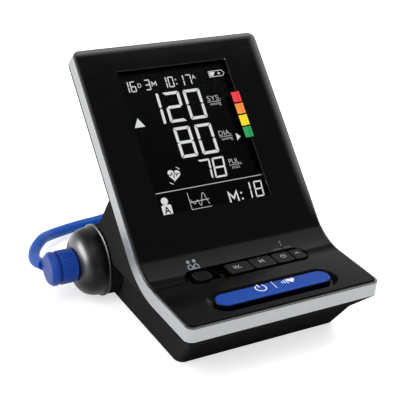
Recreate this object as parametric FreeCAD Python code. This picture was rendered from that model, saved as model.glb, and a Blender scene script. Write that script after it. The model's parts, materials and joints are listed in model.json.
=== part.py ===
"""Desk blood pressure monitor: an L-shaped front panel with a sloping display over a button deck,
a silver trim band, a black housing that stands on a flat base, a rear battery barrel with a dome at
each end, and an air tube that plugs into the left dome.

Millimetres. X runs across the front (+X to the user's right), Y from front to back, Z up. The origin
is on the table, under the middle of the monitor (without its tube).
"""
import FreeCAD
import Part
import math
import os

V = FreeCAD.Vector
X_DIR, Y_DIR, Z_DIR = V(1, 0, 0), V(0, 1, 0), V(0, 0, 1)

# ================================================================ driving dimensions
# front panel, seen from the side: a level deck, a bend, a sloping display
PANEL_WIDTH = 126.0
DECK_RUN = 39.2
BEND_R = 35.8
DISPLAY_RUN = 127.2
DISPLAY_TILT = 45.0
DECK_HEIGHT = 39.8
CORNER_R = 4.8

# silver trim band
BAND_DEPTH = 8.8
BAND_WALL = 2.4
BAND_EDGE_R = 0.5
BAND_LEDGE = 3.0
LEDGE_THICK = 1.4

# black front moulding
FACE_PROUD = 0.8
FACE_INSET = 1.4
FACE_COVER = 0.9
FACE_WALL = 2.6
FACE_EDGE_R = 0.7

# housing
WALL = 2.2
REAR_INSET = 0.3
REAR_EDGE = 2.8
REAR_EDGE_R = 1.0
BULGE_RISE = 5.9
BULGE_SLOPE = 6.0
BULGE_SIDE = 10.2
BULGE_END = 4.9
BULGE_TUCK = 12.0
FOOT_LIFT = 0.8
COVE_IN = 9.0
COVE_SIDE = 7.0
COVE_DROP = 9.5
FOOT_SETBACK = 23.7
FOOT_WIDTH = 107.0
BASE_CORNER_R = 5.0
REAR_WALL_RUN = 37.0

# rear barrel with a dome at each end
BARREL_R = 21.5
BARREL_WALL = 2.3
BARREL_LENGTH = 125.4
BARREL_SETBACK = 111.5
BARREL_LIFT = 0.6
DOME_R = 20.8
DOME_LENGTH = 14.8
DOME_POWER = 2.8
DOME_NOSE_R = 10.6
DOME_WALL = 2.2
DOME_STEPS = 16
SEAM_WIDTH = 1.8
SEAM_PROUD = 0.45
SEAM_EDGE = 0.4
SPIGOT_LENGTH = 3.0

# display window, a little left of the middle
WINDOW_X = -1.75
WINDOW_WIDTH = 75.2
WINDOW_HEIGHT = 92.0
WINDOW_RUN = 19.0
WINDOW_SUNK = 0.4
WINDOW_FLANGE = 2.6
FLANGE_THICK = 1.2

# segment display, its holder, its strip and its board
GLASS_THICK = 2.8
GLASS_BORDER = 3.0
GLASS_ENDS = 1.2
FRAME_WALL = 1.8
FRAME_FLOOR = 3.3
EAR_R = 2.6
STRIP_HALF = 34.0
STRIP_WIDTH = 2.4
STRIP_EDGE = 1.0
BOARD_THICK = 1.6
BOARD_MARGIN = 3.5
BOARD_SIDE = 2.8
BOARD_LIP = 8.0
BOARD_SCREW_SIDE = 2.6
BOARD_SCREW_LOW = 5.0
BOARD_SCREW_HIGH = 3.2
BOARD_SCREW_LENGTH = 4.6

# packages on the back of the main board: place across, run up the slope, size, height
CHIPS = [(4.0, 70.0, 12.0, 1.6), (-22.0, 88.0, 6.0, 1.4), (24.0, 50.0, 7.0, 1.5)]
SENSOR_X = -36.0
SENSOR_RUN = 24.0
SENSOR_SIZE = 9.0
SENSOR_HIGH = 4.0
SENSOR_NOZZLE = 5.0
BUZZER_X = 30.0
BUZZER_RUN = 26.0
BUZZER_R = 6.0
BUZZER_HIGH = 4.5
BUZZER_HOLE_R = 1.2
BUZZER_HOLE = 1.0

# start button in its dish
START_LENGTH = 74.6
START_WIDTH = 12.2
START_SETBACK = 15.8
START_PROUD = 1.3
START_EDGE_R = 1.2
START_TRAVEL = 0.8
START_PLUNGER_R = 2.0
START_SWITCH_X = 22.0
DISH_LENGTH = 83.6
DISH_WIDTH = 20.0
DISH_DEPTH = 2.4
DISH_SLOPE = 2.9
FLOOR_THICK = 1.6
UNDER_MARGIN = 0.8

# key pocket with the user slider at its left end and four keys that share the rest
POCKET_LENGTH = 82.0
POCKET_WIDTH = 13.0
POCKET_SETBACK = 43.0
POCKET_DEPTH = 2.0
KEY_SHARES = {"key_graph": 0.307, "key_memory": 0.295, "key_clock": 0.233, "key_up": 0.165}
KEY_GAP = 0.6
KEY_END = 2.4
KEY_PROUD = 1.2
KEY_WIDTH = 10.4
KEY_CORNER_R = 1.6
KEY_EDGE_R = 0.5
KEY_TRAVEL = 0.6
KEY_NECK_INSET = 2.4
KEY_PLUNGER_R = 1.5
RIM = 1.2
RIM_THICK = 0.8
SLIDER_START = 5.2
SLIDER_LENGTH = 10.6
SLIDER_WIDTH = 9.4
SLIDER_CORNER_R = 3.0
SLIDER_PROUD = 0.9
SLIDER_TRAVEL = 10.0
SLIDER_NECK = 4.0
SLIDER_TO_KEYS = 1.2
GRIP_CUTS = 5
GRIP_PITCH = 1.7
GRIP_WIDTH = 0.7
GRIP_DEPTH = 0.6

# deck board and its switches
KEY_BOARD_DEPTH = 12.3
KEY_BOARD_SIDE = 19.0
KEY_BOARD_FRONT = 11.0
KEY_BOARD_BACK = 51.0
SWITCH_SIZE = 6.0
SWITCH_HEIGHT = 3.5
STEM_R = 1.75
STEM_HEIGHT = 1.4
SLIDE_BODY_WIDTH = 6.0
SLIDE_BODY_HIGH = 3.0
SLIDE_BODY_END = 5.0
SLIDE_FLOOR = 1.2
LEVER_HALF = 1.0
LEVER_TOP = 2.3

# battery bay inside the barrel
CELL_R = 7.25
CELL_LENGTH = 50.5
CELL_TIP = 1.4
CELL_TIP_R = 2.7
CELL_GAP = 0.5
CELL_ROOM = 0.2
CELL_BACK = 1.5
BAY_X = 5.7
CONTACT_ROOM = 1.6
CONTACT_PLATE = 0.5
PLATE_HALF = 5.0
CONTACT_SLACK = 0.1
BUMP_R = 2.4
BUMP_TIP_R = 1.6
COIL_SPRING_R = 4.0
SPRING_STEP = 0.5
SPRING_TURNS = 3
TRAY_GAP = 0.25
TRAY_END = 1.0
TRAY_LIP = 12.0
DOOR_INSET = 1.0
DOOR_LOW_ANGLE = -48.0
DOOR_HINGE_ANGLE = 38.0
HINGE_PIN_R = 0.6
HINGE_PIN_LENGTH = 2.2
HINGE_ROOM = 0.7
GRIP_BARS = 4
GRIP_BAR_HALF = 9.0
GRIP_BAR_START = 5.0
GRIP_BAR_STEP = 4.0
GRIP_BAR_SWEEP = 1.6
GRIP_BAR_PROUD = 0.5

# base: service hatch, feet, screws
HATCH_HALF = 36.0
HATCH_FRONT = 30.0
HATCH_BACK = 86.0
HATCH_CORNER_R = 4.0
LEDGE_IN = 3.0
LEDGE_OUT = 2.0
LEDGE_HIGH = 1.6
HATCH_SCREW_IN = 4.5
HATCH_EAR = 1.2
FOOT_R = 5.5
FOOT_THICK = 1.4
FOOT_SIDE = 18.5
FOOT_FRONT = 17.0
FOOT_BACK = 12.0
BOSS_R = 3.0
SCREW_R = 1.25
SCREW_HEAD_R = 2.4
SCREW_HEAD = 1.6
SCREW_BITE = 6.0
FRONT_BOSS_Z = 22.0
FRONT_HEAD_Z = 14.0
FRONT_SCREW_SIDE = 14.5
FRONT_SCREW_BACK = 29.0
TOP_SCREW_SIDE = 8.5
TOP_SCREW_DOWN = 8.7
SINK = 1.1

# pump, valve, manifold and hoses
PUMP_SETBACK = 70.0
MOTOR_X = -38.0
MOTOR_R = 12.0
MOTOR_LENGTH = 30.0
MOTOR_WALL = 1.2
SHAFT_R = 1.0
SHAFT_PROUD = 10.0
CORE_GAP = 1.2
CORE_END = 6.0
CRANK_R = 5.0
CRANK_OFFSET = 1.0
CRANK_START = 5.0
CRANK_THICK = 3.0
PUMP_SIZE = 27.0
PUMP_LENGTH = 24.0
PUMP_EDGE_R = 4.0
PUMP_ROOM_R = 8.0
PUMP_ROOM_START = 3.0
PUMP_ROOM_LENGTH = 9.0
PUMP_NOZZLE_IN = 16.0
NOZZLE_LENGTH = 4.5
CRADLE_START = 11.0
CRADLE_LENGTH = 12.0
CRADLE_HALF = 8.5
CRADLE_DROP = 5.0
VALVE_X = 26.0
VALVE_SETBACK = 52.0
VALVE_LENGTH = 20.0
VALVE_SIZE = 14.0
VALVE_EDGE_R = 1.5
MANIFOLD_X = -48.0
MANIFOLD_HALF = 4.5
MANIFOLD_FOOT_IN = 3.0
MANIFOLD_TO_BARREL = 14.0
MANIFOLD_ABOVE_PUMP = 16.0
PORT_DROP = 4.0
SENSOR_PORT_DROP = 8.0
SENSOR_HOSE_OUT = 9.0
SENSOR_HOSE_BACK = 10.0
HOSE_SIDE = 5.0
HOSE_R = 2.5
HOSE_BORE_R = 1.25
HOSE_BEND_R = 5.0
HOSE_ROOM = 0.4
SOCKET_HOSE_X = -50.6
SOCKET_HOSE_PUSH = 3.0

# air socket, adapter jack and air plug
SOCKET_R = 6.0
SOCKET_BORE_R = 4.0
SOCKET_DEPTH = 11.0
SOCKET_END = 1.5
SOCKET_FLANGE = 2.0
SOCKET_NECK_R = 0.7
SOCKET_BARB_IN = 1.0
JACK_R = 1.8
JACK_DEPTH = 14.0
PLUG_R = 10.3
PLUG_COLLAR = 10.0
PLUG_GROOVE = 1.9
PLUG_GROOVE_DEPTH = 2.2
PLUG_CAP = 4.4
PLUG_BEVEL = 2.2
PLUG_BEVEL_IN = 1.3
PLUG_TIP_IN = 2.6
PLUG_EDGE = 0.4
PLUG_RIBS = 30
PLUG_RIB_R = 0.6
PLUG_RIB_OUT = 0.25
PLUG_RIB_START = 1.0
PLUG_CORE_R = 5.0
PLUG_BORE_R = 1.5
SEAL_GROOVE = 2.0
SEAL_GROOVE_START = 3.0
SEAL_GROOVE_DEPTH = 0.8
SEAL_R = 0.42
NOSE_EDGE = 0.6
NOSE_GAP = 0.08
ELBOW_WALL = 0.5
ELBOW_REACH = 8.0

# air tube
TUBE_R = 3.5
COIL_X = 50.0
COIL_SETBACK = 188.0
COIL_R = 38.0
COIL_TURNS = 3
COIL_LIFT = 0.3
CUFF_GRIP = 7.5
CUFF_GRIP_WALL = 0.2
CUFF_PIN_R = 2.2
CUFF_PIN_LENGTH = 7.5
CUFF_BORE_R = 1.2
ARC_SHARE = 0.45

# Route of the air tube: from the plug, round behind the barrel and down to the table. The first
# point is the end of the cap's elbow, and the last lies on the coil's outer turn.
TUBE_ROUTE = [V(-92.6, 40.9, 20.6), V(-94.0, 53.2, 15.4), V(-88.2, 69.7, 13.8), V(-77.9, 82.2, 13.5),
              V(-70.4, 91.3, 9.8), V(-57.3, 99.1, 7.0), V(-41.0, 105.8, 4.8), V(-21.2, 108.6, 4.1),
              V(-9.4, 115.5, 3.8), V(2.7, 129.0, 3.8), V(15.9, 139.6, 3.8), V(28.9, 146.5, 3.8)]

# Route of the tube's tail: off the coil's inner turn and round inside it to the cuff connector.
TAIL_ROUTE = [V(30.9, 131.8, 3.8), V(40.0, 136.5, 3.8), V(50.1, 137.3, 3.8), V(59.7, 133.8, 3.8),
              V(67.1, 126.7, 3.8), V(70.9, 117.2, 3.8), V(70.5, 107.0, 3.8), V(66.1, 97.9, 3.8)]

# clearances: SLIP between moving parts, SNUG between seated ones, BITE where two fused forms overlap,
# OVER where a cut runs past a face
SLIP = 0.3
SNUG = 0.15
PRESS_GAP = 0.15
PIN_GAP = 0.06
HEAD_GAP = 0.2
BITE = 0.5
OVER = 1.0
FAR = 40.0

# ================================================================ derived places
TILT = math.radians(DISPLAY_TILT)
UP = V(0, math.cos(TILT), math.sin(TILT))
OUT = V(0, -math.sin(TILT), math.cos(TILT))
HALF = PANEL_WIDTH / 2
REAR_DEPTH = BAND_DEPTH + REAR_EDGE
BULGE_DEPTH = REAR_DEPTH + BULGE_RISE
OVERALL_DEPTH = (DECK_RUN + BEND_R * math.sin(TILT) + (DISPLAY_RUN - REAR_INSET) * math.cos(TILT)
                 + REAR_DEPTH * math.sin(TILT))
FRONT = -OVERALL_DEPTH / 2
BEND_START = FRONT + DECK_RUN
DISPLAY_START = V(0, BEND_START + BEND_R * math.sin(TILT), DECK_HEIGHT + BEND_R * (1 - math.cos(TILT)))
BARREL_Y = FRONT + BARREL_SETBACK
BARREL_Z = FOOT_LIFT + BARREL_LIFT + BARREL_R
BARREL_END = BARREL_LENGTH / 2
DOME_START = BARREL_END + SEAM_WIDTH
DOME_END = DOME_START + DOME_LENGTH * (1 - (DOME_NOSE_R / DOME_R) ** DOME_POWER) ** (1 / DOME_POWER)
FACE_BACK = FACE_WALL - FACE_PROUD
FLANGE_TOP = FACE_BACK + SNUG
GLASS_TOP = FLANGE_TOP + FLANGE_THICK + SNUG
FRAME_BACK = GLASS_TOP + GLASS_THICK + FRAME_FLOOR
BOARD_TOP = FRAME_BACK + SLIP
BOARD_BACK = BOARD_TOP + BOARD_THICK
GLASS_HALF = WINDOW_WIDTH / 2 + GLASS_BORDER
GLASS_LOW = WINDOW_RUN - GLASS_ENDS
GLASS_HIGH = WINDOW_RUN + WINDOW_HEIGHT + GLASS_ENDS
BOARD_HALF = GLASS_HALF + BOARD_SIDE
BOARD_LOW = GLASS_LOW - BOARD_LIP
BOARD_HIGH = GLASS_HIGH + BOARD_MARGIN
BOARD_SCREWS = [(WINDOW_X + side * (BOARD_HALF - BOARD_SCREW_SIDE), run) for side in (-1, 1)
                for run in (BOARD_LOW + BOARD_SCREW_LOW, BOARD_HIGH - BOARD_SCREW_HIGH)]
FACE_TOP_Z = DECK_HEIGHT + FACE_PROUD
DISH_FLOOR_Z = FACE_TOP_Z - DISH_DEPTH
DISH_UNDER_Z = DISH_FLOOR_Z - FLOOR_THICK
POCKET_FLOOR_Z = FACE_TOP_Z - POCKET_DEPTH
POCKET_UNDER_Z = POCKET_FLOOR_Z - FLOOR_THICK
POCKET_Y = FRONT + POCKET_SETBACK
START_Y = FRONT + START_SETBACK
SLIDER_X = -POCKET_LENGTH / 2 + SLIDER_START + SLIDER_LENGTH / 2
KEY_BOARD_Z = DECK_HEIGHT - KEY_BOARD_DEPTH
SWITCH_TOP = KEY_BOARD_Z + SLIDE_BODY_HIGH
STEM_Z = KEY_BOARD_Z + SWITCH_HEIGHT + STEM_HEIGHT
BASE_FLOOR = FOOT_LIFT + WALL
COVE_Z = DECK_HEIGHT - BAND_DEPTH - COVE_DROP
CELL_Z = CELL_R + CELL_ROOM
CELL_Y = BARREL_Y + CELL_BACK
CELL_ROWS = [V(BAY_X, CELL_Y, BARREL_Z + side * CELL_Z) for side in (-1, 1)]
BAY_HALF = CELL_LENGTH + CELL_GAP / 2 + CONTACT_ROOM
DOOR_HALF = BAY_HALF - DOOR_INSET
HATCH_Y0 = FRONT + HATCH_FRONT
HATCH_Y1 = FRONT + HATCH_BACK
HATCH_SCREWS = [(side * (HATCH_HALF - HATCH_SCREW_IN), y) for side in (-1, 1)
                for y in (HATCH_Y0 + HATCH_SCREW_IN, HATCH_Y1 - HATCH_SCREW_IN)]
FRONT_SCREWS = [(side * (HALF - FRONT_SCREW_SIDE), FRONT + FRONT_SCREW_BACK) for side in (-1, 1)]
TOP_SCREWS = [(side * (HALF - TOP_SCREW_SIDE), DISPLAY_RUN - TOP_SCREW_DOWN) for side in (-1, 1)]
FOOT_PLACES = [V(side * (HALF - FOOT_SIDE), y, 0) for side in (-1, 1)
               for y in (FRONT + FOOT_SETBACK + FOOT_FRONT, BARREL_Y - FOOT_BACK)]
PUMP_FLOOR = BASE_FLOOR + LEDGE_HIGH
PUMP_Y = FRONT + PUMP_SETBACK
PUMP_Z = PUMP_FLOOR + PUMP_SIZE / 2
PUMP_TOP = PUMP_Z + PUMP_SIZE / 2
PUMP_X = MOTOR_X + MOTOR_LENGTH
PUMP_NOZZLE_X = PUMP_X + PUMP_NOZZLE_IN
HOSE_Y = PUMP_Y + HOSE_SIDE
VALVE_Y = FRONT + VALVE_SETBACK
VALVE_Z = PUMP_FLOOR + VALVE_SIZE / 2
MANIFOLD_Y = BARREL_Y - BARREL_R - MANIFOLD_TO_BARREL
MANIFOLD_TOP = PUMP_TOP + MANIFOLD_ABOVE_PUMP
SOCKET_BARB_X = -BARREL_END + SOCKET_BARB_IN
PLUG_START = -DOME_END - SLIP
COLLAR_END = PLUG_START - PLUG_COLLAR
GROOVE_END = COLLAR_END - PLUG_GROOVE
CAP_END = GROOVE_END - PLUG_CAP
NOSE_END = PLUG_START + SOCKET_DEPTH - SLIP
NOSE_R = SOCKET_BORE_R - NOSE_GAP
COIL_Y = FRONT + COIL_SETBACK

NODES = {}


# ================================================================ helpers
def on_display(x, run, depth):
    """Point at a run up the display slope and a depth below the trim's front edge."""
    return V(x, 0, 0) + DISPLAY_START + UP * run - OUT * depth


def bend_point(depth, share):
    """Point on the bend at a depth, from the deck (share 0) to the display (share 1)."""
    angle = TILT * share
    radius = BEND_R + depth
    return V(0, BEND_START + radius * math.sin(angle), DECK_HEIGHT + BEND_R - radius * math.cos(angle))


def depth_of(p):
    """How far a point lies below the trim's front edge, measured square to the panel."""
    if p.y <= BEND_START:
        return DECK_HEIGHT - p.z
    if (p - DISPLAY_START).dot(UP) >= 0:
        return -(p - DISPLAY_START).dot(OUT)
    return math.hypot(p.y - BEND_START, p.z - DECK_HEIGHT - BEND_R) - BEND_R


def middle_of(edge):
    return edge.valueAt((edge.FirstParameter + edge.LastParameter) / 2)


def box(x0, x1, y0, y1, z0, z1):
    return Part.makeBox(x1 - x0, y1 - y0, z1 - z0, V(x0, y0, z0))


def rod(radius, length, start, direction):
    return Part.makeCylinder(radius, length, start, direction)


def fuse(first, *others):
    return first.fuse(list(others)).removeSplitter()


def edges_near(shape, points):
    """Edges whose middle lies at one of the points."""
    return [e for e in shape.Edges if any((middle_of(e) - p).Length < SNUG / 3 for p in points)]


def top_edges(shape, z):
    """Edges that lie in the level plane z."""
    return [e for e in shape.Edges if abs(e.BoundBox.ZMin - z) < SNUG / 10]


def outline_prism(points, half_width):
    """Closed YZ outline, drawn at -half_width and extruded to +half_width."""
    wire = Part.makePolygon([V(-half_width, p.y, p.z) for p in points + points[:1]])
    return Part.Face(wire).extrude(V(2 * half_width, 0, 0))


def bend_prism(points, depth, half_width):
    """Closed YZ outline whose last side is the bend at a depth, from the display round to the deck."""
    def at(p):
        return V(-half_width, p.y, p.z)

    high, low = bend_point(depth, 1), bend_point(depth, 0)
    around = [low] + points + [high]
    edges = [Part.LineSegment(at(a), at(b)).toShape() for a, b in zip(around, around[1:])]
    edges.append(Part.Arc(at(high), at(bend_point(depth, 0.5)), at(low)).toShape())
    return Part.Face(Part.Wire(edges)).extrude(V(2 * half_width, 0, 0))


def panel_slab(inset, top, bottom):
    """Slab that follows deck, bend and display between two depths, with rounded outer corners."""
    half = HALF - inset
    y0 = FRONT + inset
    run = DISPLAY_RUN - inset

    def at(p):
        return V(-half, p.y, p.z)

    front_top, front_low = at(V(0, y0, DECK_HEIGHT - top)), at(V(0, y0, DECK_HEIGHT - bottom))
    end_top, end_low = at(on_display(0, run, top)), at(on_display(0, run, bottom))
    deck_top, deck_low = at(bend_point(top, 0)), at(bend_point(bottom, 0))
    slope_top, slope_low = at(bend_point(top, 1)), at(bend_point(bottom, 1))
    edges = [Part.LineSegment(front_top, deck_top).toShape(),
             Part.Arc(deck_top, at(bend_point(top, 0.5)), slope_top).toShape(),
             Part.LineSegment(slope_top, end_top).toShape(),
             Part.LineSegment(end_top, end_low).toShape(),
             Part.LineSegment(end_low, slope_low).toShape(),
             Part.Arc(slope_low, at(bend_point(bottom, 0.5)), deck_low).toShape(),
             Part.LineSegment(deck_low, front_low).toShape(),
             Part.LineSegment(front_low, front_top).toShape()]
    slab = Part.Face(Part.Wire(edges)).extrude(V(2 * half, 0, 0))
    middle = (top + bottom) / 2
    corners = [V(side * half, y0, DECK_HEIGHT - middle) for side in (-1, 1)]
    corners += [on_display(side * half, run, middle) for side in (-1, 1)]
    return slab.makeFillet(max(CORNER_R - inset, WALL), edges_near(slab, corners))


def soften_rim(slab, depth, radius):
    """Rounds the outer edge of a panel slab at one of its depths."""
    rim = []
    for edge in slab.Edges:
        p = middle_of(edge)
        seam = min(abs(p.y - BEND_START), (p - on_display(p.x, 0, depth)).Length) < SNUG
        if abs(depth_of(p) - depth) < SNUG / 10 and not (seam and abs(p.x) < SNUG):
            rim.append(edge)
    return slab.makeFillet(radius, rim)


def display_box(half_x, run0, run1, top, bottom, x=WINDOW_X):
    """Box that lies square to the display slope, behind the middle of the window unless x is given."""
    corners = [on_display(0, run0, top), on_display(0, run1, top),
               on_display(0, run1, bottom), on_display(0, run0, bottom)]
    return outline_prism(corners, half_x).translated(V(x, 0, 0))


def stadium_wire(length, width, y, z):
    half, r = length / 2 - width / 2, width / 2
    a, b, c, d = V(-half, y - r, z), V(half, y - r, z), V(half, y + r, z), V(-half, y + r, z)
    return Part.Wire([Part.LineSegment(a, b).toShape(), Part.Arc(b, V(half + r, y, z), c).toShape(),
                      Part.LineSegment(c, d).toShape(), Part.Arc(d, V(-half - r, y, z), a).toShape()])


def stadium(length, width, y, z0, z1):
    return Part.Face(stadium_wire(length, width, y, z0)).extrude(V(0, 0, z1 - z0))


def rounded_box(x0, x1, y0, y1, z0, z1, radius):
    """Box with its four upright edges rounded."""
    body = box(x0, x1, y0, y1, z0, z1)
    middle = (z0 + z1) / 2
    return body.makeFillet(radius, edges_near(body, [V(x, y, middle) for x in (x0, x1) for y in (y0, y1)]))


def bent_path(points, radii):
    """Straight runs joined by tangent arcs."""
    edges, here = [], points[0]
    for before, corner, after, radius in zip(points, points[1:], points[2:], radii):
        back = (before - corner).normalize()
        ahead = (after - corner).normalize()
        half = back.getAngle(ahead) / 2
        reach = radius / math.tan(half)
        middle = corner + (back + ahead).normalize() * (radius / math.sin(half) - radius)
        edges.append(Part.LineSegment(here, corner + back * reach).toShape())
        edges.append(Part.Arc(corner + back * reach, middle, corner + ahead * reach).toShape())
        here = corner + ahead * reach
    edges.append(Part.LineSegment(here, points[-1]).toShape())
    return Part.Wire(edges)


def sweep(path, start, along, radius):
    return path.makePipeShell([Part.Wire(Part.makeCircle(radius, start, along))], True, False)


def hose(points):
    """Inner air hose of even bends, with its bore."""
    path = bent_path(points, [HOSE_BEND_R] * (len(points) - 2))
    along = (points[1] - points[0]).normalize()
    return sweep(path, points[0], along, HOSE_R).cut(sweep(path, points[0], along, HOSE_BORE_R))


def revolve_x(points):
    """Closed (x, radius) outline turned about the barrel's axis."""
    wire = Part.makePolygon([V(x, BARREL_Y, BARREL_Z + r) for x, r in points + points[:1]])
    return Part.Face(wire).revolve(V(0, BARREL_Y, BARREL_Z), X_DIR, 360)


def barrel_rod(radius, x0, x1):
    return rod(radius, x1 - x0, V(x0, BARREL_Y, BARREL_Z), X_DIR)


# ================================================================ front
def trim_band():
    ring_top = FACE_COVER - FACE_PROUD + SNUG
    ring = soften_rim(panel_slab(0, ring_top, BAND_DEPTH), ring_top, BAND_EDGE_R)
    ring = ring.cut(panel_slab(BAND_WALL, -OVER, BAND_DEPTH + OVER))
    ledge = panel_slab(BAND_WALL - BITE, FACE_BACK, FACE_BACK + LEDGE_THICK)
    ledge = ledge.cut(panel_slab(BAND_WALL + BAND_LEDGE, -OVER, BAND_DEPTH + OVER))
    return fuse(ring, ledge)


def dish_cut():
    """Sloping dish round the start button, open upwards."""
    low = stadium_wire(DISH_LENGTH - 2 * DISH_SLOPE, DISH_WIDTH - 2 * DISH_SLOPE, START_Y, DISH_FLOOR_Z)
    high = stadium_wire(DISH_LENGTH, DISH_WIDTH, START_Y, FACE_TOP_Z)
    return fuse(Part.makeLoft([low, high], True, True),
                stadium(DISH_LENGTH, DISH_WIDTH, START_Y, FACE_TOP_Z, FACE_TOP_Z + OVER))


def face_panel():
    cover = soften_rim(panel_slab(FACE_INSET, -FACE_PROUD, FACE_COVER - FACE_PROUD), -FACE_PROUD, FACE_EDGE_R)
    tongue = panel_slab(BAND_WALL + SNUG, 0, FACE_BACK)
    dish_under = stadium(DISH_LENGTH + UNDER_MARGIN, DISH_WIDTH + UNDER_MARGIN, START_Y,
                         DISH_UNDER_Z, DECK_HEIGHT)
    pocket_under = stadium(POCKET_LENGTH + UNDER_MARGIN, POCKET_WIDTH + UNDER_MARGIN, POCKET_Y,
                           POCKET_UNDER_Z, DECK_HEIGHT)
    bosses = face_bosses()
    panel = fuse(cover, tongue, dish_under, pocket_under, *[boss for boss, pilot in bosses])
    button_hole = stadium(START_LENGTH + 2 * SLIP, START_WIDTH + 2 * SLIP, START_Y,
                          DISH_UNDER_Z - OVER, DISH_FLOOR_Z + OVER)
    pocket = stadium(POCKET_LENGTH, POCKET_WIDTH, POCKET_Y, POCKET_FLOOR_Z, FACE_TOP_Z + FAR)
    window = display_box(WINDOW_WIDTH / 2, WINDOW_RUN, WINDOW_RUN + WINDOW_HEIGHT,
                         -FACE_PROUD - OVER, FACE_BACK + OVER)
    holes = [slider_slot()] + [neck_hole(name) for name in KEY_SHARES]
    return panel.cut([dish_cut(), button_hole, pocket, window] + holes + [pilot for boss, pilot in bosses])


def face_bosses():
    """Screw bosses that stand on the back of the front moulding, with their pilot holes."""
    pairs = []
    for x, run in TOP_SCREWS:
        start = on_display(x, run, FACE_BACK - BITE)
        length = REAR_DEPTH - WALL - SNUG - FACE_BACK + BITE
        pilot = rod(SCREW_R, length, start - OUT * (length - SCREW_BITE), OUT * -1)
        pairs.append((rod(BOSS_R, length, start, OUT * -1), pilot))
    for x, y in FRONT_SCREWS:
        length = DECK_HEIGHT - FACE_BACK + BITE - FRONT_BOSS_Z
        pilot = rod(SCREW_R, SCREW_BITE + 2 * OVER, V(x, y, FRONT_BOSS_Z - OVER), Z_DIR)
        pairs.append((rod(BOSS_R, length, V(x, y, FRONT_BOSS_Z), Z_DIR), pilot))
    return pairs


def display_window():
    pane = display_box(WINDOW_WIDTH / 2 - SNUG, WINDOW_RUN + SNUG, WINDOW_RUN + WINDOW_HEIGHT - SNUG,
                       WINDOW_SUNK - FACE_PROUD, FLANGE_TOP)
    flange = display_box(WINDOW_WIDTH / 2 + WINDOW_FLANGE, WINDOW_RUN - WINDOW_FLANGE,
                         WINDOW_RUN + WINDOW_HEIGHT + WINDOW_FLANGE, FLANGE_TOP, FLANGE_TOP + FLANGE_THICK)
    return fuse(pane, flange)


def lcd_glass():
    return display_box(GLASS_HALF, GLASS_LOW, GLASS_HIGH, GLASS_TOP, GLASS_TOP + GLASS_THICK)


def lcd_frame():
    """Holder round the glass, with a floor behind it, screw ears and a slot for the strip."""
    side = SNUG + FRAME_WALL
    tray = display_box(GLASS_HALF + side, GLASS_LOW - side, GLASS_HIGH + side, GLASS_TOP, FRAME_BACK)
    seat = display_box(GLASS_HALF + SNUG, GLASS_LOW - SNUG, GLASS_HIGH + SNUG,
                       GLASS_TOP - OVER, GLASS_TOP + GLASS_THICK)
    slot_low = GLASS_LOW + STRIP_EDGE
    slot = display_box(STRIP_HALF + SLIP, slot_low, slot_low + STRIP_WIDTH + 2 * SLIP,
                       GLASS_TOP, FRAME_BACK + OVER)
    ears = [rod(EAR_R, FRAME_FLOOR, on_display(x, run, FRAME_BACK), OUT) for x, run in BOARD_SCREWS]
    pilots = [rod(SCREW_R, BOARD_SCREW_LENGTH, on_display(x, run, BOARD_BACK), OUT)
              for x, run in BOARD_SCREWS]
    return fuse(tray, *ears).cut([seat, slot] + pilots)


def lcd_connector():
    low = GLASS_LOW + STRIP_EDGE + SLIP
    return display_box(STRIP_HALF, low, low + STRIP_WIDTH, GLASS_TOP + GLASS_THICK, BOARD_TOP)


def main_board():
    board = display_box(BOARD_HALF, BOARD_LOW, BOARD_HIGH, BOARD_TOP, BOARD_BACK)
    holes = [rod(SCREW_R + SNUG, BOARD_THICK + 2 * OVER, on_display(x, run, BOARD_BACK + OVER), OUT)
             for x, run in BOARD_SCREWS]
    return board.cut(holes)


def board_screws():
    screws = []
    for x, run in BOARD_SCREWS:
        seat = on_display(x, run, BOARD_BACK)
        screws.append(fuse(rod(SCREW_R, BOARD_SCREW_LENGTH, seat, OUT),
                           rod(SCREW_HEAD_R, SCREW_HEAD, seat, OUT * -1)))
    return Part.makeCompound(screws)


def board_chips():
    """Controller and two small packages on the back of the main board."""
    return Part.makeCompound([display_box(size / 2, run - size / 2, run + size / 2, BOARD_BACK,
                                          BOARD_BACK + high, x) for x, run, size, high in CHIPS])


def pressure_sensor():
    body = display_box(SENSOR_SIZE / 2, SENSOR_RUN - SENSOR_SIZE / 2, SENSOR_RUN + SENSOR_SIZE / 2,
                       BOARD_BACK, BOARD_BACK + SENSOR_HIGH, SENSOR_X)
    face = on_display(SENSOR_X, SENSOR_RUN, BOARD_BACK + SENSOR_HIGH)
    return fuse(body, rod(HOSE_BORE_R, SENSOR_NOZZLE, face, OUT * -1))


def buzzer():
    start = on_display(BUZZER_X, BUZZER_RUN, BOARD_BACK)
    sound_hole = rod(BUZZER_HOLE_R, BUZZER_HOLE + OVER, start - OUT * (BUZZER_HIGH - BUZZER_HOLE), OUT * -1)
    return rod(BUZZER_R, BUZZER_HIGH, start, OUT * -1).cut(sound_hole)


# ================================================================ housing
def side_profile(shrink, low):
    """Front view of the base: narrow at the foot, a cove under the band, upright above it."""
    foot = FOOT_WIDTH / 2 - shrink
    waist = HALF - REAR_INSET - COVE_SIDE - shrink
    top = HALF - REAR_INSET - shrink
    half = [(foot, low), (foot, FOOT_LIFT + shrink), (waist, COVE_Z), (top, DECK_HEIGHT - BAND_DEPTH),
            (top, DECK_HEIGHT + DISPLAY_RUN)]
    around = [V(x, FRONT - OVER, z) for x, z in half] + [V(-x, FRONT - OVER, z) for x, z in reversed(half)]
    return Part.Face(Part.makePolygon(around + around[:1])).extrude(V(0, OVERALL_DEPTH + FAR, 0))


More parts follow.
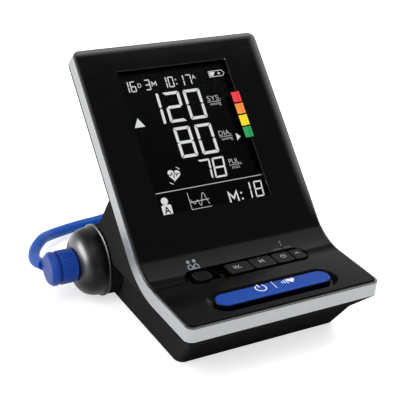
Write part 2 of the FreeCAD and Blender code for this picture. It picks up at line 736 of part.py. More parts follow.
def base_body(shrink, top_depth):
    """Base from the front foot to the barrel, seen from the side, shrunk by a wall where asked."""
    floor = FOOT_LIFT + shrink
    slope = math.atan2(COVE_Z - FOOT_LIFT, FOOT_SETBACK - REAR_INSET - COVE_IN)
    step = shrink / math.sin(slope)
    lip_y = FRONT + REAR_INSET + shrink
    points = [V(0, lip_y, DECK_HEIGHT - top_depth)]
    if top_depth < BAND_DEPTH:
        points.append(V(0, lip_y, DECK_HEIGHT - BAND_DEPTH))
    points += [V(0, FRONT + REAR_INSET + COVE_IN + step, COVE_Z),
               V(0, FRONT + FOOT_SETBACK + step - shrink / math.tan(slope), floor),
               V(0, BARREL_Y, floor), V(0, BARREL_Y, BARREL_Z),
               V(0, BARREL_Y + BARREL_WALL - WALL / 4 - shrink, BARREL_Z + BARREL_R - WALL / 2),
               on_display(0, REAR_WALL_RUN, REAR_DEPTH) - Y_DIR * shrink,
               on_display(0, REAR_WALL_RUN, top_depth) - Y_DIR * shrink]
    return bend_prism(points, top_depth, HALF + OVER)


def bulge(shrink, top, bottom):
    """Raised middle of the display's back, with sloping sides."""
    wires = []
    for depth, grow in ((top, 0.0), (bottom, BULGE_SLOPE)):
        half = HALF - REAR_INSET - BULGE_SIDE - shrink - grow
        low = REAR_WALL_RUN - BULGE_TUCK
        high = DISPLAY_RUN - REAR_INSET - BULGE_END - shrink - grow
        corners = [on_display(-half, low, depth), on_display(half, low, depth),
                   on_display(half, high, depth), on_display(-half, high, depth)]
        wires.append(Part.makePolygon(corners + corners[:1]))
    return Part.makeLoft(wires, True, True)


def is_base_corner(edge):
    """The two slanting edges at the base's front corners, below the cove."""
    heights = sorted(v.Point.z for v in edge.Vertexes)
    middle = middle_of(edge)
    return (abs(heights[0] - FOOT_LIFT) < SNUG / 10 and abs(heights[-1] - COVE_Z) < SNUG / 10
            and middle.y < FRONT + FOOT_SETBACK and abs(middle.x) > FOOT_WIDTH / 2 - OVER)


def base_plan():
    """Upright block over the base, with the band's rounded front corners."""
    return rounded_box(REAR_INSET - HALF, HALF - REAR_INSET, FRONT + REAR_INSET, OVERALL_DEPTH, -OVER,
                       DECK_HEIGHT + DISPLAY_RUN, CORNER_R - REAR_INSET)


def rear_housing():
    """Base, back of the display and barrel in one shell, open towards the front moulding."""
    body = base_body(0, BAND_DEPTH).common(side_profile(0, -OVER))
    body = body.makeFillet(BASE_CORNER_R, [e for e in body.Edges if is_base_corner(e)])
    body = body.common(base_plan())
    edge_slab = soften_rim(panel_slab(REAR_INSET, BAND_DEPTH, REAR_DEPTH), REAR_DEPTH, REAR_EDGE_R)
    keep = box(-HALF, HALF, BEND_START, OVERALL_DEPTH, DECK_HEIGHT - BAND_DEPTH, DECK_HEIGHT + DISPLAY_RUN)
    outer = fuse(body, edge_slab.common(keep), bulge(0, BAND_DEPTH + OVER, BULGE_DEPTH),
                 barrel_rod(BARREL_R, -BARREL_END, BARREL_END))
    bore = barrel_rod(BARREL_R - BARREL_WALL, -BARREL_END - OVER, BARREL_END + OVER)
    room = base_body(WALL, 0).common(side_profile(WALL, FOOT_LIFT + WALL))
    room = room.cut(barrel_rod(BARREL_R, -BARREL_END, BARREL_END))
    slab_room = panel_slab(REAR_INSET + WALL, 0, REAR_DEPTH - WALL).common(keep)
    bulge_room = bulge(WALL, BAND_DEPTH - OVER, BULGE_DEPTH - WALL)
    shell = outer.cut([bore, room, slab_room, bulge_room])
    pin_holes = door_pins(HINGE_PIN_R + PIN_GAP, HINGE_PIN_LENGTH + SLIP)
    shell = shell.cut([hatch_opening(), door_opening(), hose_hole()] + pin_holes)
    posts = case_posts()
    shell = fuse(shell, hatch_ledge(), *[post for post, hole in posts])
    seats = [rod(FOOT_R + SNUG, FOOT_THICK - FOOT_LIFT, place + Z_DIR * FOOT_LIFT, Z_DIR)
             for place in FOOT_PLACES]
    return shell.cut(seats + [hole for post, hole in posts])


def hatch_opening():
    return rounded_box(-HATCH_HALF, HATCH_HALF, HATCH_Y0, HATCH_Y1, FOOT_LIFT - OVER, BASE_FLOOR + OVER,
                       HATCH_CORNER_R)


def hatch_ledge():
    """Frame inside the base that the hatch closes against, with an ear at each screw."""
    top = BASE_FLOOR + LEDGE_HIGH
    outer = rounded_box(-HATCH_HALF - LEDGE_OUT, HATCH_HALF + LEDGE_OUT, HATCH_Y0 - LEDGE_OUT,
                        HATCH_Y1 + LEDGE_OUT, BASE_FLOOR, top, HATCH_CORNER_R + OVER)
    inner = rounded_box(-HATCH_HALF + LEDGE_IN, HATCH_HALF - LEDGE_IN, HATCH_Y0 + LEDGE_IN,
                        HATCH_Y1 - LEDGE_IN, BASE_FLOOR - OVER, top + OVER, HATCH_CORNER_R / 2)
    ears = [rod(BOSS_R + HATCH_EAR, LEDGE_HIGH, V(x, y, BASE_FLOOR), Z_DIR) for x, y in HATCH_SCREWS]
    pilots = [rod(SCREW_R, LEDGE_HIGH + 2 * OVER, V(x, y, BASE_FLOOR - OVER), Z_DIR) for x, y in HATCH_SCREWS]
    return fuse(outer.cut(inner), *ears).cut(pilots)


def bottom_cover():
    plate = rounded_box(-HATCH_HALF + SNUG, HATCH_HALF - SNUG, HATCH_Y0 + SNUG, HATCH_Y1 - SNUG,
                        FOOT_LIFT, BASE_FLOOR, HATCH_CORNER_R - SNUG)
    sinks = [rod(SCREW_HEAD_R + HEAD_GAP, SCREW_HEAD, V(x, y, FOOT_LIFT - HEAD_GAP), Z_DIR)
             for x, y in HATCH_SCREWS]
    holes = [rod(SCREW_R + SNUG, WALL + OVER, V(x, y, FOOT_LIFT), Z_DIR) for x, y in HATCH_SCREWS]
    return plate.cut(sinks + holes)


def rubber_feet():
    return Part.makeCompound([rod(FOOT_R, FOOT_THICK, place, Z_DIR) for place in FOOT_PLACES])


def case_posts():
    """Posts and rings that take the case screws, each with its counterbored hole."""
    inside = side_profile(WALL / 2, FOOT_LIFT).common(base_body(WALL / 2, 0))
    pairs = []
    for x, y in FRONT_SCREWS:
        post = rod(BOSS_R + SCREW_HEAD / 2, FRONT_BOSS_Z - SNUG - FOOT_LIFT, V(x, y, FOOT_LIFT), Z_DIR)
        sink = rod(SCREW_HEAD_R + HEAD_GAP, FRONT_HEAD_Z + SCREW_HEAD + OVER, V(x, y, -OVER), Z_DIR)
        pairs.append((post.common(inside), fuse(sink, rod(SCREW_R + SNUG, FRONT_BOSS_Z, V(x, y, 0), Z_DIR))))
    for x, run in TOP_SCREWS:
        back = on_display(x, run, REAR_DEPTH)
        sink = rod(SCREW_HEAD_R + HEAD_GAP, SINK + OVER, back - OUT * OVER, OUT)
        through = rod(SCREW_R + SNUG, WALL + 2 * OVER, back - OUT * OVER, OUT)
        pairs.append((rod(BOSS_R, WALL, back, OUT), fuse(sink, through)))
    return pairs


def screw(head_face, along, shank):
    """Pan screw: its head lies before the seat, and its shank runs along."""
    return fuse(rod(SCREW_HEAD_R, SCREW_HEAD, head_face, along),
                rod(SCREW_R, shank, head_face + along * SCREW_HEAD, along))


def case_screws():
    screws = [screw(V(x, y, FRONT_HEAD_Z), Z_DIR, FRONT_BOSS_Z + SCREW_BITE - FRONT_HEAD_Z - SCREW_HEAD)
              for x, y in FRONT_SCREWS]
    head_depth = REAR_DEPTH - SINK + SCREW_HEAD
    screws += [screw(on_display(x, run, head_depth), OUT, SCREW_BITE) for x, run in TOP_SCREWS]
    for x, y in HATCH_SCREWS:
        head = rod(SCREW_HEAD_R, SCREW_HEAD - HEAD_GAP, V(x, y, FOOT_LIFT), Z_DIR)
        shank_z = FOOT_LIFT + SCREW_HEAD - HEAD_GAP
        screws.append(fuse(head, rod(SCREW_R, BASE_FLOOR + LEDGE_HIGH - shank_z, V(x, y, shank_z), Z_DIR)))
    return Part.makeCompound(screws)


# ================================================================ barrel, domes and battery bay
def quarter_curve(radius, length, last):
    """(x, radius) points of a blunt dome, from its open end to the angle at its nose."""
    angles = [last * i / DOME_STEPS for i in range(DOME_STEPS + 1)]
    return [(DOME_START + length * math.sin(a) ** (2 / DOME_POWER), radius * math.cos(a) ** (2 / DOME_POWER))
            for a in angles]


def dome(side):
    """End cap: a raised seam ring, a round shell with a flat nose, and a spigot into the barrel."""
    inner_length = DOME_LENGTH - DOME_WALL
    nose_in = DOME_END - DOME_WALL
    skin = quarter_curve(DOME_R, DOME_LENGTH, math.acos((DOME_NOSE_R / DOME_R) ** (DOME_POWER / 2)))
    inner_last = math.asin(((nose_in - DOME_START) / inner_length) ** (DOME_POWER / 2))
    inside = quarter_curve(DOME_R - DOME_WALL, inner_length, inner_last)
    ring_r = BARREL_R + SEAM_PROUD
    spigot_r = BARREL_R - BARREL_WALL - SNUG
    spigot_x = BARREL_END - SPIGOT_LENGTH
    outline = [(BARREL_END, BARREL_R), (BARREL_END + SEAM_EDGE, ring_r), (DOME_START - SEAM_EDGE, ring_r),
               (DOME_START, BARREL_R - SEAM_EDGE)] + skin
    outline += [(DOME_END, SOCKET_R + SNUG), (nose_in, SOCKET_R + SNUG)] + inside[::-1]
    outline += [(BARREL_END, spigot_r - DOME_WALL), (spigot_x, spigot_r - DOME_WALL), (spigot_x, spigot_r),
                (BARREL_END, spigot_r)]
    return revolve_x([(side * x, r) for x, r in outline])


def air_socket():
    """Socket in the left dome, with a bore for the plug's nose and a barb for the inner hose."""
    end = -DOME_END
    flange = end + DOME_WALL + SNUG
    back = end + SOCKET_DEPTH + SOCKET_END
    return revolve_x([(end, SOCKET_BORE_R), (end, SOCKET_R), (flange, SOCKET_R),
                      (flange, SOCKET_R + SOCKET_FLANGE), (flange + SOCKET_FLANGE, SOCKET_R + SOCKET_FLANGE),
                      (flange + SOCKET_FLANGE, SOCKET_R), (back, SOCKET_R), (back, HOSE_BORE_R),
                      (SOCKET_BARB_X, HOSE_BORE_R), (SOCKET_BARB_X, SOCKET_NECK_R),
                      (end + SOCKET_DEPTH, SOCKET_NECK_R), (end + SOCKET_DEPTH, SOCKET_BORE_R)])


def power_jack():
    flange = DOME_END - DOME_WALL - SNUG
    back = DOME_END - JACK_DEPTH - SOCKET_END
    return revolve_x([(DOME_END, JACK_R), (DOME_END, SOCKET_R), (flange, SOCKET_R),
                      (flange, SOCKET_R + SOCKET_FLANGE), (flange - SOCKET_FLANGE, SOCKET_R + SOCKET_FLANGE),
                      (flange - SOCKET_FLANGE, SOCKET_R), (back, SOCKET_R), (back, 0.0),
                      (DOME_END - JACK_DEPTH, 0.0), (DOME_END - JACK_DEPTH, JACK_R)])


def ring_sector(r0, r1, low, high, half, x):
    """Part of a tube about the barrel's axis between two angles, measured from +Y towards +Z."""
    def at(r, degrees):
        a = math.radians(degrees)
        return V(x - half, BARREL_Y + r * math.cos(a), BARREL_Z + r * math.sin(a))
    middle = (low + high) / 2
    edges = [Part.Arc(at(r1, low), at(r1, middle), at(r1, high)).toShape(),
             Part.LineSegment(at(r1, high), at(r0, high)).toShape(),
             Part.Arc(at(r0, high), at(r0, middle), at(r0, low)).toShape(),
             Part.LineSegment(at(r0, low), at(r1, low)).toShape()]
    return Part.Face(Part.Wire(edges)).extrude(V(2 * half, 0, 0))


def hinge_at(x):
    """Point on the door's hinge axis, in the middle of the barrel's wall."""
    a = math.radians(DOOR_HINGE_ANGLE)
    r = BARREL_R - BARREL_WALL / 2
    return V(x, BARREL_Y + r * math.cos(a), BARREL_Z + r * math.sin(a))


def door_opening():
    cut = ring_sector(BARREL_R - BARREL_WALL - OVER, BARREL_R + OVER, DOOR_LOW_ANGLE, DOOR_HINGE_ANGLE,
                      DOOR_HALF, BAY_X)
    return fuse(cut, rod(BARREL_WALL / 2 + HINGE_ROOM, 2 * DOOR_HALF, hinge_at(BAY_X - DOOR_HALF), X_DIR))


def door_pins(radius, length):
    """A stub at each end of the door's hinge edge."""
    return [rod(radius, length + SLIP, hinge_at(BAY_X - DOOR_HALF - length), X_DIR),
            rod(radius, length + SLIP, hinge_at(BAY_X + DOOR_HALF - SLIP), X_DIR)]


def battery_door():
    gap = math.degrees(SLIP / BARREL_R)
    half = DOOR_HALF - SLIP
    leaf = ring_sector(BARREL_R - BARREL_WALL, BARREL_R, DOOR_LOW_ANGLE + gap, DOOR_HINGE_ANGLE, half, BAY_X)
    hinge_edge = rod(BARREL_WALL / 2, 2 * half, hinge_at(BAY_X - half), X_DIR)
    grips = []
    for i in range(GRIP_BARS):
        low = DOOR_LOW_ANGLE + GRIP_BAR_START + GRIP_BAR_STEP * i
        grips.append(ring_sector(BARREL_R - BITE, BARREL_R + GRIP_BAR_PROUD, low, low + GRIP_BAR_SWEEP,
                                 GRIP_BAR_HALF, BAY_X))
    return fuse(leaf, hinge_edge, *(door_pins(HINGE_PIN_R, HINGE_PIN_LENGTH) + grips))


def batteries():
    """Four cells, two rows of two in line; the rows point opposite ways."""
    cells = []
    for row, flip in zip(CELL_ROWS, (1, -1)):
        for offset in (-CELL_LENGTH - CELL_GAP / 2, CELL_GAP / 2):
            start = row + X_DIR * offset
            can = rod(CELL_R, CELL_LENGTH - CELL_TIP, start + X_DIR * (0 if flip > 0 else CELL_TIP), X_DIR)
            tip_at = CELL_LENGTH - CELL_TIP - BITE if flip > 0 else 0
            cells.append(fuse(can, rod(CELL_TIP_R, CELL_TIP + BITE, start + X_DIR * tip_at, X_DIR)))
    return Part.makeCompound(cells)


def battery_tray():
    """Cradle in the barrel's bore, with two troughs open to the rear and a wall at each end."""
    r = BARREL_R - BARREL_WALL - TRAY_GAP
    half = BAY_HALF + TRAY_END
    blank = barrel_rod(r, BAY_X - half, BAY_X + half)
    room = [rod(CELL_R + CELL_ROOM, 2 * BAY_HALF, row - X_DIR * BAY_HALF, X_DIR) for row in CELL_ROWS]
    rear = box(BAY_X - BAY_HALF, BAY_X + BAY_HALF, CELL_Y, BARREL_Y + BARREL_R, 0, BARREL_Z + BARREL_R)
    core = box(BAY_X - BAY_HALF, BAY_X + BAY_HALF, CELL_Y - CELL_R / 2, CELL_Y + OVER,
               BARREL_Z - CELL_R, BARREL_Z + CELL_R)
    ends = box(BAY_X - half - OVER, BAY_X + half + OVER, BARREL_Y + TRAY_LIP, BARREL_Y + BARREL_R,
               0, BARREL_Z + BARREL_R)
    return blank.cut(room + [rear, core, ends])


def battery_contacts():
    """Plates at both ends of the bay: a raised bump for a positive end, spring turns for a negative."""
    parts = []
    reach = CONTACT_ROOM - CONTACT_PLATE - CONTACT_SLACK
    wire_r = reach / (2 * SPRING_TURNS)
    for row, flip in zip(CELL_ROWS, (1, -1)):
        for side in (-1, 1):
            face = row + X_DIR * side * (BAY_HALF - CONTACT_PLATE)
            x0, x1 = sorted((face.x, face.x + side * CONTACT_PLATE))
            plate = box(x0, x1, row.y - PLATE_HALF, row.y + PLATE_HALF,
                        row.z - PLATE_HALF, row.z + PLATE_HALF)
            if side * flip > 0:
                parts.append(fuse(plate, Part.makeCone(BUMP_R, BUMP_TIP_R, reach, face, X_DIR * -side)))
            else:
                turns = [Part.makeTorus(COIL_SPRING_R - SPRING_STEP * i, wire_r,
                                        face - X_DIR * side * wire_r * (0.9 + 1.8 * i), X_DIR)
                         for i in range(SPRING_TURNS)]
                parts.append(fuse(plate, *turns))
    return Part.makeCompound(parts)


# ================================================================ buttons, keys and slider
def start_button():
    top = FACE_TOP_Z + START_PROUD
    low = DISH_UNDER_Z - SLIP
    bar = stadium(START_LENGTH, START_WIDTH, START_Y, low - RIM_THICK / 2, top)
    bar = bar.makeFillet(START_EDGE_R, top_edges(bar, top))
    rim = stadium(START_LENGTH + 2 * RIM, START_WIDTH + 2 * RIM, START_Y, low - RIM_THICK, low)
    plunger_z = STEM_Z + START_TRAVEL + PRESS_GAP
    plungers = [rod(START_PLUNGER_R, low - RIM_THICK / 2 - plunger_z,
                    V(side * START_SWITCH_X, START_Y, plunger_z), Z_DIR) for side in (-1, 1)]
    return fuse(bar, rim, *plungers)


def key_edges():
    """Left and right side of each key: the keys share what the slider leaves of the pocket."""
    left = SLIDER_X + SLIDER_TRAVEL + SLIDER_LENGTH / 2 + SLIDER_TO_KEYS
    right = POCKET_LENGTH / 2 - KEY_END
    row = right - left - KEY_GAP * (len(KEY_SHARES) - 1)
    edges = {}
    for name, share in KEY_SHARES.items():
        edges[name] = (left, left + row * share)
        left += row * share + KEY_GAP
    return edges


def key_neck(name, grow, z0, z1):
    """Neck of a key where it passes through the pocket's floor, grown by a margin."""
    x0, x1 = key_edges()[name]
    half = KEY_WIDTH / 2 - KEY_NECK_INSET + grow
    return box(x0 + KEY_NECK_INSET - grow, x1 - KEY_NECK_INSET + grow, POCKET_Y - half, POCKET_Y + half,
               z0, z1)


def neck_hole(name):
    return key_neck(name, SLIP, POCKET_UNDER_Z - OVER, POCKET_FLOOR_Z + OVER)


def key(name):
    x0, x1 = key_edges()[name]
    top = FACE_TOP_Z + KEY_PROUD
    low = POCKET_FLOOR_Z + KEY_TRAVEL + SLIP
    under = POCKET_UNDER_Z - SLIP
    cap = rounded_box(x0, x1, POCKET_Y - KEY_WIDTH / 2, POCKET_Y + KEY_WIDTH / 2, low, top, KEY_CORNER_R)
    cap = cap.makeFillet(KEY_EDGE_R, top_edges(cap, top))
    plunger_z = STEM_Z + KEY_TRAVEL + PRESS_GAP
    plunger = rod(KEY_PLUNGER_R, under - RIM_THICK / 2 - plunger_z,
                  V((x0 + x1) / 2, POCKET_Y, plunger_z), Z_DIR)
    return fuse(cap, key_neck(name, 0, under - RIM_THICK / 2, low + BITE),
                key_neck(name, RIM, under - RIM_THICK, under), plunger)


def slider_slot():
    reach = SLIDER_NECK / 2 + SLIP
    return box(SLIDER_X - reach, SLIDER_X + SLIDER_TRAVEL + reach, POCKET_Y - reach, POCKET_Y + reach,
               POCKET_UNDER_Z - OVER, POCKET_FLOOR_Z + OVER)


def slider_block(half_x, half_y, z0, z1):
    return box(SLIDER_X - half_x, SLIDER_X + half_x, POCKET_Y - half_y, POCKET_Y + half_y, z0, z1)


def user_slider():
    """Ribbed cap on a neck, with a rim under the pocket's floor and a fork for the switch's lever."""
    low = POCKET_FLOOR_Z + SLIP
    top = FACE_TOP_Z + SLIDER_PROUD
    under = POCKET_UNDER_Z - SLIP
    half_x, half_y, neck = SLIDER_LENGTH / 2, SLIDER_WIDTH / 2, SLIDER_NECK / 2
    cap = rounded_box(SLIDER_X - half_x, SLIDER_X + half_x, POCKET_Y - half_y, POCKET_Y + half_y, low, top,
                      SLIDER_CORNER_R)
    first = -(GRIP_CUTS - 1) / 2 * GRIP_PITCH
    cuts = [slider_block(GRIP_WIDTH / 2, half_y + OVER, top - GRIP_DEPTH, top + OVER).translated(
        V(first + GRIP_PITCH * i, 0, 0)) for i in range(GRIP_CUTS)]
    stem = slider_block(neck, neck, under - RIM_THICK, low + BITE)
    rim = slider_block(neck + RIM, neck + RIM, under - RIM_THICK, under)
    fork = slider_block(neck, neck, SWITCH_TOP + SLIP, under - RIM_THICK / 2)
    fork = fork.cut(slider_block(LEVER_HALF, neck + OVER, SWITCH_TOP, under - LEVER_TOP + SLIP))
    return fuse(cap.cut(cuts), stem, rim, fork)


def switch_lever():
    """Lever of the slide switch, held in the slider's fork."""
    return slider_block(LEVER_HALF, LEVER_HALF, KEY_BOARD_Z + SLIDE_FLOOR + SLIP,
                        POCKET_UNDER_Z - SLIP - LEVER_TOP)


def slide_switch():
    half_y = SLIDE_BODY_WIDTH / 2
    body = box(SLIDER_X - SLIDE_BODY_END, SLIDER_X + SLIDER_TRAVEL + SLIDE_BODY_END, POCKET_Y - half_y,
               POCKET_Y + half_y, KEY_BOARD_Z, SWITCH_TOP)
    reach = LEVER_HALF + SLIP
    return body.cut(box(SLIDER_X - reach, SLIDER_X + SLIDER_TRAVEL + reach, POCKET_Y - reach,
                        POCKET_Y + reach, KEY_BOARD_Z + SLIDE_FLOOR, SWITCH_TOP + OVER))


def key_board():
    half = HALF - KEY_BOARD_SIDE
    return box(-half, half, FRONT + KEY_BOARD_FRONT, FRONT + KEY_BOARD_BACK,
               KEY_BOARD_Z - BOARD_THICK, KEY_BOARD_Z)


def tact_switches():
    places = [(side * START_SWITCH_X, START_Y) for side in (-1, 1)]
    places += [((x0 + x1) / 2, POCKET_Y) for x0, x1 in key_edges().values()]
    half = SWITCH_SIZE / 2
    switches = []
    for x, y in places:
        body = box(x - half, x + half, y - half, y + half, KEY_BOARD_Z, KEY_BOARD_Z + SWITCH_HEIGHT)
        switches.append(fuse(body, rod(STEM_R, STEM_HEIGHT, V(x, y, KEY_BOARD_Z + SWITCH_HEIGHT), Z_DIR)))
    return Part.makeCompound(switches)


# ================================================================ pump, valve and hoses
def pump_rod(radius, x0, x1):
    return rod(radius, x1 - x0, V(x0, PUMP_Y, PUMP_Z), X_DIR)


def pump_motor():
    can = pump_rod(MOTOR_R, MOTOR_X, PUMP_X)
    return can.cut([pump_rod(MOTOR_R - MOTOR_WALL, MOTOR_X + MOTOR_WALL, PUMP_X - MOTOR_WALL),
                    pump_rod(SHAFT_R + PIN_GAP, MOTOR_X - OVER, PUMP_X + OVER)])


def pump_rotor():
    """Armature, shaft and crank disc that turn in the motor and drive the diaphragms."""
    shaft = pump_rod(SHAFT_R, MOTOR_X + SLIP, PUMP_X + SHAFT_PROUD)
    core = pump_rod(MOTOR_R - MOTOR_WALL - CORE_GAP, MOTOR_X + CORE_END, PUMP_X - CORE_END)
    crank = pump_rod(CRANK_R, PUMP_X + CRANK_START, PUMP_X + CRANK_START + CRANK_THICK)
    return fuse(shaft, core, crank.translated(V(0, CRANK_OFFSET, 0)))


def long_edges(shape, length):
    return [e for e in shape.Edges if abs(e.BoundBox.XLength - length) < SNUG / 10]


def pump_head():
    half = PUMP_SIZE / 2
    block = box(PUMP_X, PUMP_X + PUMP_LENGTH, PUMP_Y - half, PUMP_Y + half, PUMP_Z - half, PUMP_Z + half)
    block = block.makeFillet(PUMP_EDGE_R, long_edges(block, PUMP_LENGTH))
    room_x = PUMP_X + PUMP_ROOM_START
    nozzle = rod(HOSE_BORE_R, NOZZLE_LENGTH + BITE, V(PUMP_NOZZLE_X, HOSE_Y, PUMP_TOP - BITE), Z_DIR)
    return fuse(block.cut([pump_rod(PUMP_ROOM_R, room_x, room_x + PUMP_ROOM_LENGTH),
                           pump_rod(SHAFT_R + BITE, PUMP_X - OVER, room_x + OVER)]), nozzle)


def pump_cradle():
    """Soft saddle between the base and the motor."""
    x0 = MOTOR_X + CRADLE_START
    block = box(x0, x0 + CRADLE_LENGTH, PUMP_Y - CRADLE_HALF, PUMP_Y + CRADLE_HALF, BASE_FLOOR,
                PUMP_Z - CRADLE_DROP)
    return block.cut(pump_rod(MOTOR_R + SNUG, MOTOR_X, PUMP_X))


def air_valve():
    """Solenoid block with its nozzle towards the left."""
    half = VALVE_SIZE / 2
    body = box(VALVE_X, VALVE_X + VALVE_LENGTH, VALVE_Y - half, VALVE_Y + half,
               VALVE_Z - half, VALVE_Z + half)
    body = body.makeFillet(VALVE_EDGE_R, long_edges(body, VALVE_LENGTH))
    start = V(VALVE_X - NOZZLE_LENGTH, VALVE_Y, VALVE_Z)
    return fuse(body, rod(HOSE_BORE_R, NOZZLE_LENGTH + BITE, start, X_DIR))


def air_manifold():
    """Four-way block that joins socket, pump, valve and sensor."""
    y0, y1 = MANIFOLD_Y - MANIFOLD_HALF, MANIFOLD_Y + MANIFOLD_HALF
    neck = VALVE_Z + HOSE_R + SNUG
    foot = box(MANIFOLD_X - MANIFOLD_FOOT_IN, MANIFOLD_X + MANIFOLD_HALF, y0, y1, BASE_FLOOR, neck + BITE)
    head = box(MANIFOLD_X - MANIFOLD_HALF, MANIFOLD_X + MANIFOLD_HALF, y0, y1, neck, MANIFOLD_TOP)
    return fuse(foot, head)


def hose_hole():
    start = V(SOCKET_HOSE_X, BARREL_Y - BARREL_R - BARREL_WALL, BARREL_Z)
    return rod(HOSE_R + HOSE_ROOM, BARREL_R, start, Y_DIR)


def socket_hose():
    start = V(SOCKET_BARB_X - SOCKET_HOSE_PUSH, BARREL_Y, BARREL_Z)
    return hose([start, V(SOCKET_HOSE_X, BARREL_Y, BARREL_Z),
                 V(SOCKET_HOSE_X, MANIFOLD_Y + MANIFOLD_HALF, BARREL_Z)])


def pump_hose():
    z = MANIFOLD_TOP - PORT_DROP
    return hose([V(MANIFOLD_X + MANIFOLD_HALF, HOSE_Y, z), V(PUMP_NOZZLE_X, HOSE_Y, z),
                 V(PUMP_NOZZLE_X, HOSE_Y, PUMP_TOP)])


def valve_hose():
    return hose([V(MANIFOLD_X, MANIFOLD_Y - MANIFOLD_HALF, VALVE_Z), V(MANIFOLD_X, VALVE_Y, VALVE_Z),
                 V(VALVE_X, VALVE_Y, VALVE_Z)])


def sensor_hose():
    start = on_display(SENSOR_X, SENSOR_RUN, BOARD_BACK + SENSOR_HIGH)
    end = V(MANIFOLD_X, MANIFOLD_Y + MANIFOLD_HALF, MANIFOLD_TOP - SENSOR_PORT_DROP)
    return hose([start, start - OUT * SENSOR_HOSE_OUT, end + Y_DIR * SENSOR_HOSE_BACK, end])


# ================================================================ air plug, tube and coil
def plug_collar():
    """Finger grip of the plug, ribbed all round, with a bore for the core."""
    ring = revolve_x([(PLUG_START, PLUG_CORE_R), (PLUG_START, PLUG_R - NOSE_EDGE),
                      (PLUG_START - NOSE_EDGE, PLUG_R),
                      (COLLAR_END + PLUG_EDGE, PLUG_R), (COLLAR_END, PLUG_R - PLUG_EDGE),
                      (COLLAR_END, PLUG_CORE_R)])
    flutes = []
    for i in range(PLUG_RIBS):
        a = 2 * math.pi * i / PLUG_RIBS
        r = PLUG_R + PLUG_RIB_OUT
        start = V(PLUG_START + PLUG_RIB_START, BARREL_Y + r * math.cos(a), BARREL_Z + r * math.sin(a))
        flutes.append(rod(PLUG_RIB_R, PLUG_COLLAR + 2 * PLUG_RIB_START, start, X_DIR * -1))
    return ring.cut(flutes)


def plug_core():
    """Nose that seals in the socket, and the spindle that carries collar and cap."""
    groove = NOSE_END - SEAL_GROOVE_START
    groove_r = NOSE_R - SEAL_GROOVE_DEPTH
    neck_r = PLUG_R - PLUG_GROOVE_DEPTH
    return revolve_x([(NOSE_END, PLUG_BORE_R), (NOSE_END, NOSE_R - NOSE_EDGE), (NOSE_END - NOSE_EDGE, NOSE_R),
                      (groove, NOSE_R), (groove, groove_r), (groove - SEAL_GROOVE, groove_r),
                      (groove - SEAL_GROOVE, NOSE_R), (PLUG_START, NOSE_R), (PLUG_START, PLUG_CORE_R),
                      (COLLAR_END, PLUG_CORE_R), (COLLAR_END, neck_r), (GROOVE_END, neck_r),
                      (GROOVE_END, PLUG_BORE_R)])


def plug_seal():
    """O-ring in the nose's groove."""
    middle = NOSE_END - SEAL_GROOVE_START - SEAL_GROOVE / 2
    return Part.makeTorus(NOSE_R - SEAL_GROOVE_DEPTH + SEAL_R, SEAL_R, V(middle, BARREL_Y, BARREL_Z), X_DIR)


def plug_cap():
    """Bevelled end cap with the elbow that the tube leaves by."""
    cap = revolve_x([(GROOVE_END, 0.0), (GROOVE_END, PLUG_R - PLUG_EDGE), (GROOVE_END - PLUG_EDGE, PLUG_R),
                     (CAP_END + PLUG_BEVEL, PLUG_R), (CAP_END + PLUG_EDGE, PLUG_R - PLUG_BEVEL_IN),
                     (CAP_END, PLUG_R - PLUG_TIP_IN), (CAP_END, 0.0)])
    tip = TUBE_ROUTE[0]
    along = (TUBE_ROUTE[1] - tip).normalize()
    elbow = rod(TUBE_R + ELBOW_WALL, ELBOW_REACH, tip - along * ELBOW_REACH, along)
    inner = barrel_rod(PLUG_R + SLIP, GROOVE_END, PLUG_START)
    outer = barrel_rod(PLUG_R, CAP_END - PLUG_COLLAR, CAP_END)
    return fuse(cap, elbow.cut([inner, outer]))


def cord_tube(name, route):
    """Solid tube along a route: each corner's arc is as large as its two runs allow."""
    radii = []
    for before, here, after in zip(route, route[1:], route[2:]):
        run = min((here - before).Length, (after - here).Length)
        radii.append(ARC_SHARE * run / math.tan((here - before).getAngle(after - here) / 2))
    path = bent_path(route, radii)
    solid = sweep(path, route[0], (route[1] - route[0]).normalize(), TUBE_R)
    print(name, "radii", [round(r, 1) for r in radii], "length", round(path.Length, 1), "volume share",
          round(solid.Volume / (math.pi * TUBE_R ** 2 * path.Length), 4))
    return solid


def tube_coil():
    """Outer shape of the spare tube: its turns side by side on the table."""
    reach = COIL_TURNS * TUBE_R
    ring = rod(COIL_R + reach, 2 * TUBE_R, V(COIL_X, COIL_Y, COIL_LIFT), Z_DIR)
    return ring.cut(rod(COIL_R - reach, 2 * (TUBE_R + OVER), V(COIL_X, COIL_Y, COIL_LIFT - OVER), Z_DIR))


def cuff_connector():
    """Plug for the cuff on the far end: grip and nozzle, with the air way through them."""
    start = TAIL_ROUTE[-1]
    along = (start - TAIL_ROUTE[-2]).normalize()
    grip = rod(TUBE_R + CUFF_GRIP_WALL, CUFF_GRIP, start, along)
    nozzle = rod(CUFF_PIN_R, CUFF_PIN_LENGTH, start + along * CUFF_GRIP, along)
    return fuse(grip, nozzle).cut(rod(CUFF_BORE_R, CUFF_GRIP + CUFF_PIN_LENGTH, start + along * OVER, along))


